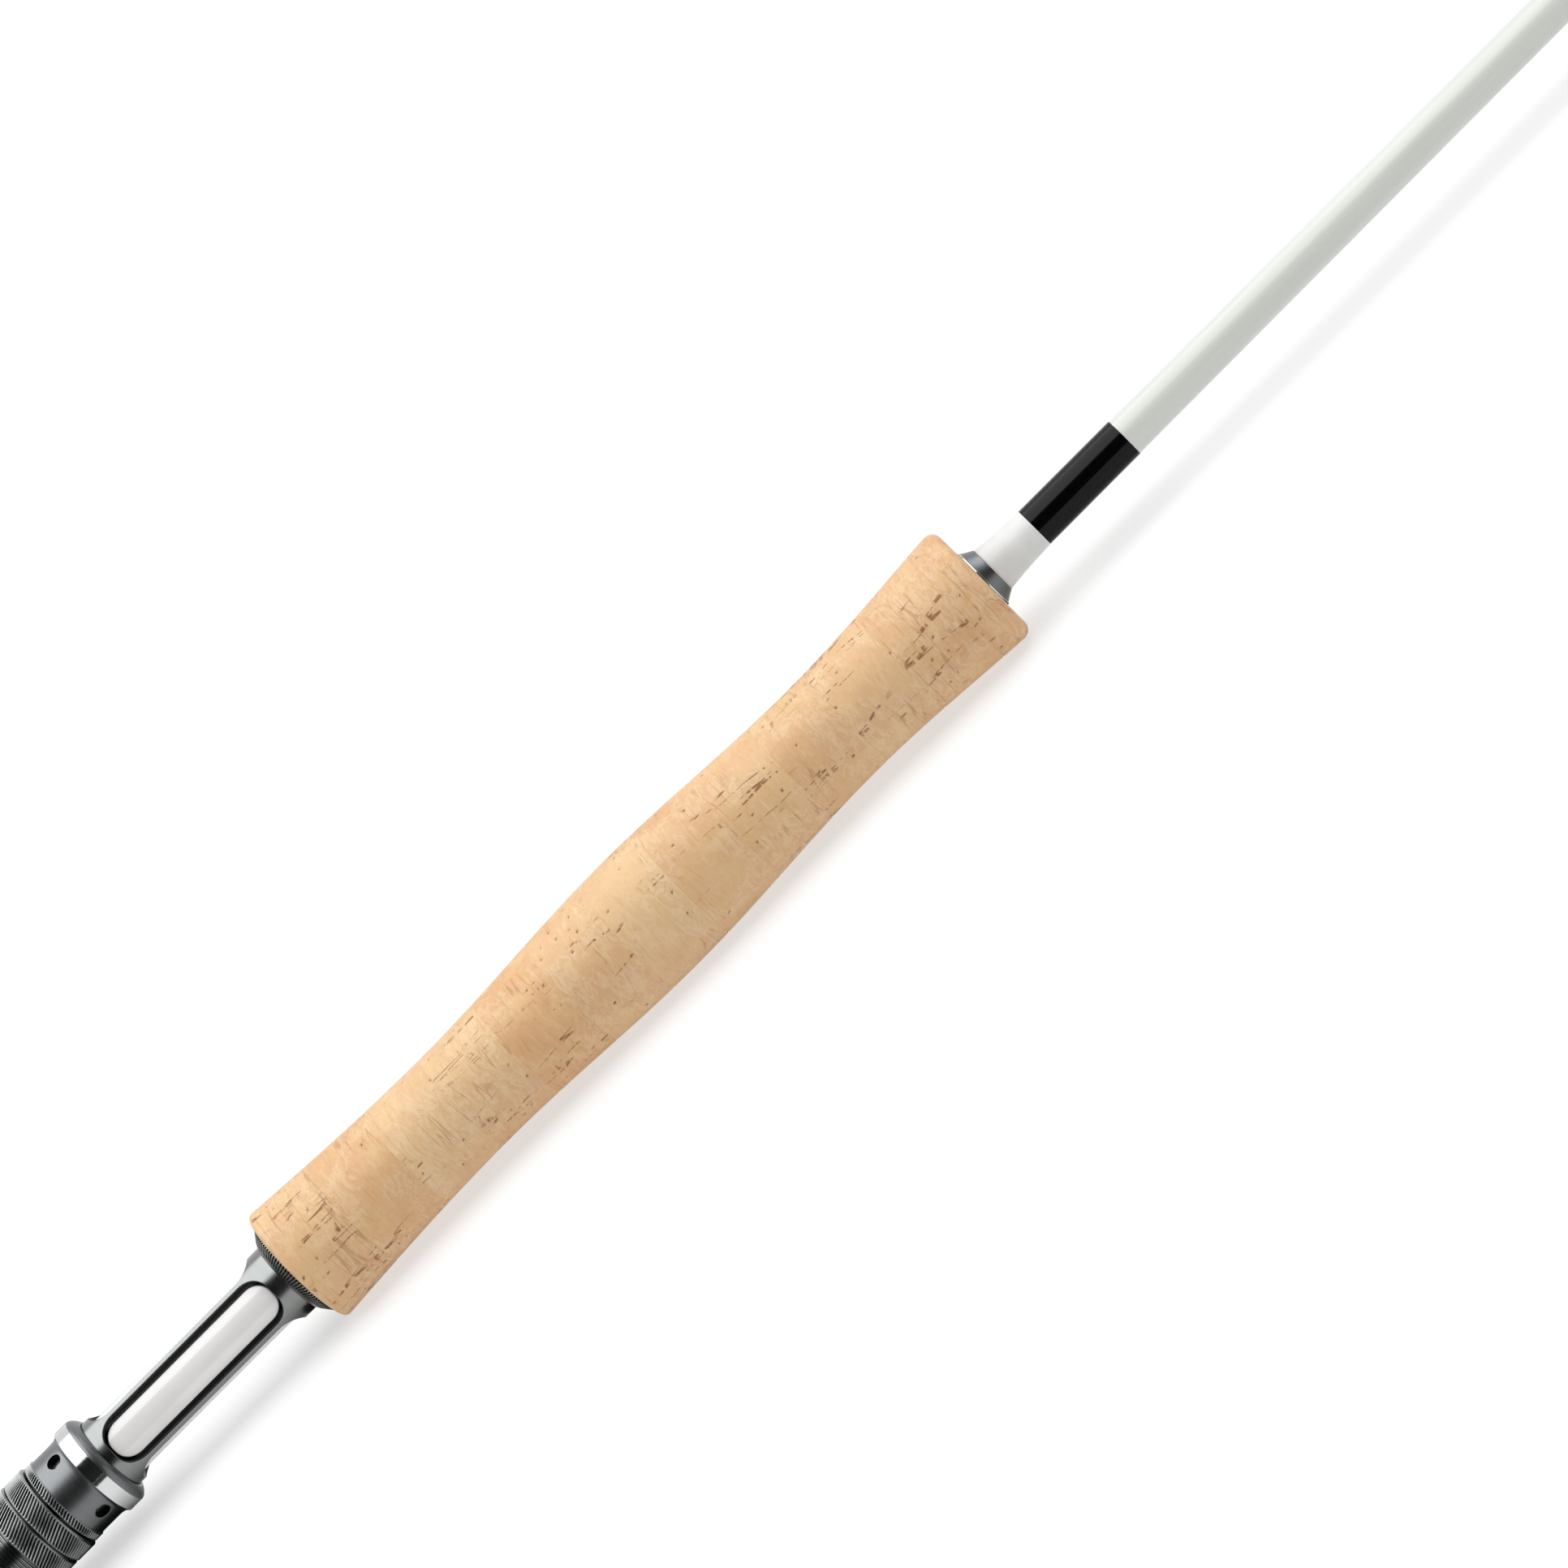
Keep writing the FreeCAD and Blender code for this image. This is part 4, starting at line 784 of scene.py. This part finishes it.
# the nose is smooth: its 64 teeth have no depth and only set how many columns it has
grid = pocketed(np.zeros(len(nose_plain)), nose_plain, nose_pocket, 64, 0.0)
nose_x, nose_radius = nose_plain[:, 0], nose_plain[:, 1]
on_flange = (nose_x > FLANGE_START - 0.05) & (nose_x < FLANGE_END + 0.05)
flange_rows = np.flatnonzero(on_flange & (nose_radius > FLANGE_RADIUS - 0.03))
rise, fall = flange_rows[0], flange_rows[-1]
nose_shell = [
    (grid[: rise + 1], False, True, 0),
    (grid[rise : fall + 1], False, True, 1),
    (grid[fall:], False, True, 0),
    (np.stack([grid[-1], grid[0]]), False, True, 0),
]
shells, looks = [band_shell, drilled, nose_shell], [blasted, buffed, knurl_metal, painted_shade_black]
made = piece("rear_hood", shells, "sliding_hood", ["sliding_hood"], looks, 30.0)


def band_crest(x):
    """The knurled band's crests, with its rear chamfer, and 0 past the band."""
    crest = BAND_RADIUS - np.clip(BAND_START + BAND_CHAMFER - x, 0, 1)
    return np.where(x < BAND_END - 0.08, crest, 0.0)


store_groove_shade(made, band_crest, KNURL_DEPTH)

# -------- cork grip
# Thirteen cork rings glued end to end, turned on a lathe to a full-wells shape and sanded.
# Each ring keeps its own tone and grain, and its bark pits are left open or darkened with dust.

GRIP = dict(rear=13.85, waist=11.8, palm=13.64, thumb=11.75, front=14.0)
WAIST_AT, PALM_AT, THUMB_AT = 202.0, 252.99, 304.01
REAR_CORNER, FRONT_CORNER, JOINT_EDGE = 1.1, 2.4, 0.09
COLLAR_SOCKET, CORK_BORE = 10.42, 4.95


def grip_radius(x):
    """Rear flare 1 - cos(pi t / 2), half cosine waves between waist, palm swell and thumb, and a front
    flare 1 - cos(0.75 pi t); a circular corner at each end."""
    rear = (WAIST_AT - x) / (WAIST_AT - GRIP_START)
    palm = (x - WAIST_AT) / (PALM_AT - WAIST_AT)
    thumb = (x - PALM_AT) / (THUMB_AT - PALM_AT)
    front = (x - THUMB_AT) / (GRIP_END - THUMB_AT)
    flare = (1 - np.cos(0.75 * math.pi * front)) / (1 - math.cos(0.75 * math.pi))
    r = np.select(
        [x < WAIST_AT, x < PALM_AT, x < THUMB_AT],
        [
            GRIP["waist"] + (GRIP["rear"] - GRIP["waist"]) * (1 - np.cos(math.pi * rear / 2)),
            GRIP["waist"] + (GRIP["palm"] - GRIP["waist"]) * (1 - np.cos(math.pi * palm)) / 2,
            GRIP["palm"] + (GRIP["thumb"] - GRIP["palm"]) * (1 - np.cos(math.pi * thumb)) / 2,
        ],
        GRIP["thumb"] + (GRIP["front"] - GRIP["thumb"]) * flare,
    )
    for end, corner in ((x - GRIP_START, REAR_CORNER), (GRIP_END - x, FRONT_CORNER)):
        into = np.clip(corner - end, 0, corner)
        r = r - (corner - np.sqrt(np.maximum(corner**2 - into**2, 0)))
    return r


for number in range(1, 14):
    first = GRIP_START + CORK_RING * (number - 1)
    last = min(first + CORK_RING, GRIP_END)
    x = np.linspace(first, last, 24 if number == 13 else 46)
    if number == 1:
        corner = first + REAR_CORNER * (1 - np.cos(np.linspace(0, math.pi / 2, 9)))
        x = np.unique(np.concatenate([x, corner]))
    if number == 13:
        corner = last - FRONT_CORNER * (1 - np.cos(np.linspace(0, math.pi / 2, 14)))
        x = np.unique(np.concatenate([x, corner]))
    radius = grip_radius(x)
    if number > 1:
        radius[0] -= JOINT_EDGE
    if number < 13:
        radius[-1] -= JOINT_EDGE
    bore = COLLAR_SOCKET if number == 1 else CORK_BORE
    rear_face = np.stack([np.full(6, first), np.linspace(bore, radius[0], 6)], 1)[:-1]
    front_face = np.stack([np.full(14, last), np.linspace(radius[-1], bore, 14)], 1)[1:]
    profile = np.concatenate([rear_face, np.stack([x, radius], 1), front_face])
    name, node = f"grip_ring_{number:02d}", f"cork_ring_{number:02d}"
    made = turned(name, profile, node, cork, columns=260, sharp=50.0)
    pit_surface(made, 100 + number, 13.0)

# -------- winding check
# The little trumpet that closes the front of the grip round the blank. It is turned from aluminium,
# anodised gunmetal, with a thin bright rim where it was polished.

CHECK_END, CHECK_STEPS = 348.3, 6
check_outline = (
    (GRIP_END, 5.0, 0.05), (GRIP_END, 6.9, 0.1), (345.62, 7.0, 0.05), (345.85, 6.95, 0.08),
    (345.95, 6.68, 0.2), (347.04, 6.0, 0.9), (CHECK_END, 5.30, 0.12), (CHECK_END, 4.6, 0.05),
)
check_ring = ring_of(softened(check_outline, CHECK_STEPS))
# the polished rim is the first four corners; the trumpet is the rest, and shares a row with it at each end
rim_rows = 4 * (CHECK_STEPS + 3)
trumpet = np.roll(check_ring, 1 - rim_rows, axis=0)[: len(check_ring) - rim_rows + 2]
shell = [(check_ring[:rim_rows], False, True, 1), (trumpet, False, True, 0)]
piece("front_check", [shell], "butt_section", ["winding_check"], [blasted, buffed])

# -------- white sleeve
# A thread whipping over the blank in front of the check, built up with epoxy to a smooth taper and
# painted white. Brushed epoxy leaves it slightly uneven.

# epoxy enamel: soft white with a low sheen, and slow waves about 3 mm long
enamel = grained(
    "brushed white epoxy enamel", "#dcdddb", "#d5d6d5", (330, 250, 250, 2.0), spread=(0.3, 0.7),
    relief=(None, 0.00003), Roughness=0.36, Specular_IOR_Level=0.35,
)
SLEEVE_END = 359.8
sleeve_curve = np.array([
    (CHECK_END, 4.5), (CHECK_END, 5.18), (348.42, 5.24), (349.1, 5.15), (350.03, 5.075), (352.0, 4.90),
    (354.05, 4.745), (356.5, 4.62), (359.3, 4.510), (359.7, 4.49), (SLEEVE_END, 4.45), (SLEEVE_END, 4.3),
])
turned("taper_sleeve_enamel", sleeve_curve, "taper_sleeve", enamel, columns=96, sharp=40.0)

# -------- black band
# A gloss black band round the blank, a paint ring under the blank's clear coat. It stands a tenth of
# a millimetre proud, with a rounded edge where the clear coat runs over it.

# black lacquer under clear coat: pure black with a sharp reflection, and orange peel 1 mm across
lacquer_black = grained(
    "black lacquer, clear-coated", "#020203", "#070709", (500, 1000, 1000, 1.0), relief=(None, 0.000004),
    Roughness=0.1, Specular_IOR_Level=0.15,
)
BAND_TO, BAND_BORE = 384.6, 4.2
band_outline = (
    (SLEEVE_END, BAND_BORE, 0), (SLEEVE_END, 4.478, 0.08), (BAND_TO, 4.442, 0.08), (BAND_TO, BAND_BORE, 0),
)
band_profile = softened(band_outline, 4)
turned("black_band_lacquer", band_profile, "black_band", lacquer_black, columns=96)

# -------- blank
# Four tapered tubes of carbon fibre, each with a socket at its rear end that slides over the tip of
# the one behind. They are rolled, ground true, painted white and clear-coated.

# white lacquer on carbon: cool white, faint grey streaks along the rod, orange peel about 1 mm across
lacquer_white = grained(
    "white lacquer, clear-coated", "#d6d8d2", "#cfd1cb", (25, 500, 500, 3.0), spread=(0.3, 0.7),
    relief=((500, 900, 900, 1.0), 0.000005), Roughness=0.3, Specular_IOR_Level=0.3, Coat_Weight=0.25,
    Coat_Roughness=0.06,
)

SOCKET, SOCKET_STEP, WALL, CLEARANCE = 60.0, 0.5, 0.75, 0.02
TIP_HOLLOW = (0.25, 0.9)
sections = (
    ("butt_section", "butt_blank", 4.03, 731.0, 4.894, 3.840),
    ("lower_middle", "lower_middle_blank", 671.0, 1402.0, 4.697, 2.750),
    ("upper_middle", "upper_middle_blank", 1342.0, 2073.0, 3.530, 1.950),
    ("tip", "tip_blank", 2013.0, 2744.0, 2.600, 0.950),
)
for number, (body, node, first, last, rear, front) in enumerate(sections):
    mouth = first + SOCKET
    slope = (front - rear) / (last - first)
    inner_mouth = rear - WALL
    inner_deep = rear + slope * SOCKET - WALL
    if number:
        _, _, before_first, before_last, before_rear, before_front = sections[number - 1]
        before_slope = (before_front - before_rear) / (before_last - before_first)
        inner_mouth = before_rear + before_slope * (first - before_first) + CLEARANCE
        inner_deep = before_front + CLEARANCE
    far_hollow, near_hollow = (front - WALL, rear + slope * SOCKET - WALL) if number < 3 else TIP_HOLLOW
    outline = (
        (first, inner_mouth, 0.0), (first, rear, 0.08), (last, front, 0.08), (last, far_hollow, 0.0),
        (mouth + SOCKET_STEP, near_hollow, 0.0), (mouth, inner_deep, 0.0),
    )
    turned(f"{node}_lacquered", softened(outline, 3), node, lacquer_white, body, 72, 35.0)

# -------- whippings
# Thread wound over each guide's feet and over the mouth of each ferrule, then flooded with epoxy.
# The thread is white and shows as fine turns under the clear, domed epoxy.

# nylon thread in epoxy: turns 0.25 mm apart, drawn a little coarser than real thread so that they show
THREAD_SPACING = 0.00025
whipping = bpy.data.materials.new("white thread under clear epoxy")
tree = cleared(whipping)
along = add_node(tree, "SeparateXYZ", {0: add_node(tree, "TexCoord")["Object"]})[0]
turn = add_node(tree, "Math", {0: along, 1: FULL_TURN / THREAD_SPACING}, operation="MULTIPLY")[0]
ridge = add_node(tree, "Math", {0: turn}, operation="SINE")[0]
# each turn is paler on its crest and darker between turns: painted shade between the threads
shade = laid_over(tree, colour("#c4c4c0"), "#e6e6e2", ridge, -1.0, 0.6)
rounded = add_node(tree, "Math", {0: ridge, 1: 0.5, 2: 0.5}, operation="MULTIPLY_ADD")[0]
bump = add_node(tree, "Bump", {"Strength": 1.0, "Distance": 0.00001, "Height": rounded})[0]
finish(tree, Base_Color=shade, Normal=bump, Roughness=0.3, Coat_Weight=1.0, Coat_Roughness=0.05)
for name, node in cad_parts.items():
    if name.endswith(("_wrap", "_wraps")):
        node.material_slots[0].material = whipping

# -------- line guides and tip-top
# Two stripping guides with ceramic rings, eleven bent snake guides and a tip-top loop on a tube. The
# wire is stainless steel, bent, soldered and hard-chromed; the rings are polished ceramic.

# hard chrome on wire: bright and neutral, with a shine that is a little uneven
chrome = grained(
    "hard-chromed stainless wire", "#bfc0c2", "#d2d2d3", (900, 900, 900, 3.0),
    gloss=(None, 0.10, 0.20), Metallic=1.0,
)

# polished ceramic: near black, glassy, with a faint cloudiness 2 mm across
ceramic = grained(
    "polished black ceramic", "#1b1b1d", "#26262a", (500, 500, 500, 2.0),
    Roughness=0.08, Specular_IOR_Level=0.7,
)
for name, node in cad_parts.items():
    if name.startswith("stripping_ring"):
        node.material_slots[0].material = ceramic
    elif name.startswith(("stripping_guide", "snake_guide", "tip_top")):
        node.material_slots[0].material = chrome

# -------- floor, backdrop and light
# A white floor that runs out to a white room, one broad lamp overhead, and black felts that only
# reflections see: painted reflections that give the metal and the lacquer their dark stripes, and painted
# shade under the rod.

ROD_MIDDLE = 1.37


def stage_grid(name, grid, material):
    """A stage surface made from one grid of points in metres."""
    mesh = bpy.data.meshes.new(name)
    faces = grid_faces(grid.shape[0], grid.shape[1], False, False)
    mesh.from_pydata(grid.reshape(-1, 3).tolist(), [], faces.tolist())
    mesh.materials.append(material)
    made = put(name, mesh)
    return made


def seen(tree):
    """1 for what the camera, a mirror or a glass sees, and 0 for light that falls on the object."""
    path = add_node(tree, "LightPath")
    both = {0: path["Is Camera Ray"], 1: path["Is Glossy Ray"]}
    both = add_node(tree, "Math", both, operation="MAXIMUM")[0]
    return add_node(tree, "Math", {0: both, 1: path["Is Transmission Ray"]}, operation="MAXIMUM")[0]


# painted white floor: matt where the rod lies, so that its shadow falls there, and plain white far off
paper = bpy.data.materials.new("matt white floor paint")
tree = cleared(paper)
spot = add_node(tree, "SeparateXYZ", {0: add_node(tree, "TexCoord")["Object"]})
off_middle = add_node(tree, "Math", {0: spot[0], 1: ROD_MIDDLE}, operation="SUBTRACT")[0]
off = []
for distance, near, far in ((off_middle, 1.8, 3.0), (spot[1], 0.35, 1.2)):
    distance = add_node(tree, "Math", {0: distance}, operation="ABSOLUTE")[0]
    off.append(add_node(tree, "MapRange", {"Value": distance, "From Min": near, "From Max": far})[0])
away = add_node(tree, "Math", {0: off[0], 1: off[1]}, operation="MAXIMUM")[0]
far_white = add_node(tree, "Math", {0: away, 1: seen(tree)}, operation="MULTIPLY")[0]
# everywhere, six tenths of the paint shine plain white, which keeps the shadow faint; not in reflections
mirrored = add_node(tree, "LightPath")["Is Glossy Ray"]
lifted = add_node(tree, "Math", {0: mirrored, 1: -0.6, 2: 0.6}, operation="MULTIPLY_ADD")[0]
glow = add_node(tree, "Math", {0: far_white, 1: lifted}, operation="MAXIMUM")[0]
matt = add_node(tree, "BsdfDiffuse", {"Color": (0.86, 0.86, 0.86, 1.0)})
plain_white = add_node(tree, "Emission", {"Color": (1.0, 1.0, 1.0, 1.0), "Strength": 1.0})
mixed = add_node(tree, "MixShader", {0: glow, 1: matt[0], 2: plain_white[0]})
add_node(tree, "OutputMaterial", {"Surface": mixed[0]})
span = np.linspace(-40, 40, 9)
floor_x, floor_y = np.meshgrid(span, span, indexing="ij")
floor_z = np.full_like(floor_x, cad_box[0].z - 0.0001)
stage_grid("floor", np.stack([floor_x, floor_y, floor_z], axis=-1), paper)

# black felt: swallows almost all light. It hangs in front and lies on the floor before the rod, as painted
# dark reflections, and lies under the metal pieces, as painted shade that they reflect; only reflections
# see it, so the rod's own shadow and shading stay as they are
felt = bpy.data.materials.new("black felt")
tree = cleared(felt)
nap = add_node(tree, "BsdfDiffuse", {"Color": (0.03, 0.03, 0.03, 1.0)})
add_node(tree, "OutputMaterial", {"Surface": nap[0]})
angle = np.linspace(math.pi, FULL_TURN, 64)[None, :]
level = np.array([0.02, 6.6])[:, None]
ring = np.stack(np.broadcast_arrays(1.0 + 6.0 * np.cos(angle), 6.0 * np.sin(angle), level), axis=-1)
reflected_sheets = [stage_grid("reflected_dark_curtain", ring, felt)]
lying = (
    ("reflected_dark_in_front", -6.0, 8.0, -6.0, -0.09),
    ("felt_under_seat", -0.02, 0.0967, -0.008, 0.3),
    ("felt_under_collar", 0.149, 0.170, -0.008, 0.3),
    ("felt_under_check", 0.343, 0.3485, -0.006, 0.3),
)
for name, x_low, x_high, y_low, y_high in lying:
    sheet_x, sheet_y = np.meshgrid(np.array([x_low, x_high]), np.array([y_low, y_high]), indexing="ij")
    grid = np.stack([sheet_x, sheet_y, np.full_like(sheet_x, cad_box[0].z + 0.0003)], axis=-1)
    reflected_sheets.append(stage_grid(name, grid, felt))
for reflected_sheet in reflected_sheets:
    reflected_sheet.visible_camera = reflected_sheet.visible_diffuse = False
    reflected_sheet.visible_shadow = reflected_sheet.visible_transmission = False

world = bpy.data.worlds.new("white room")
bpy.context.scene.world = world
tree = cleared(world)
strength = add_node(tree, "Math", {0: seen(tree), 1: 0.75, 2: 0.25}, operation="MULTIPLY_ADD")[0]
room = add_node(tree, "Background", {"Color": (1.0, 1.0, 1.0, 1.0), "Strength": strength})
add_node(tree, "OutputWorld", {"Surface": room[0]})

lamp = bpy.data.lights.new("overhead softbox", "AREA")
lamp.shape = "RECTANGLE"
lamp.size, lamp.size_y = 8.0, 4.4
lamp.energy = 232.0
put("overhead_softbox", lamp).location = (0.8, 0.0, 3.0)

# -------- camera
# A long lens looks straight at the rod's back from 1.35 m away, 18 degrees above level. It is rolled
# so that the rod rises to the right.

RISE = math.radians(45.06)
camera = bpy.data.cameras.new("camera")
camera.sensor_width = 36.0
camera.lens = 158.5
camera.clip_start, camera.clip_end = 0.05, 200.0
stand = Vector(laid(342.0, 0.0, 1350.0).tolist())
target = Vector(laid(289.8, -0.70, 0.0).tolist())
rightwards = Vector((laid(math.cos(RISE), -math.sin(RISE), 0.0) * 1000).tolist())
back = (stand - target).normalized()
side = (rightwards - back * rightwards.dot(back)).normalized()
up = back.cross(side)
eye = put("camera", camera)
turned_so = Matrix((side, up, back)).transposed().to_4x4()
eye.matrix_world = Matrix.Translation(stand) @ turned_so
bpy.context.scene.camera = eye
bpy.context.scene.view_settings.view_transform = "Standard"
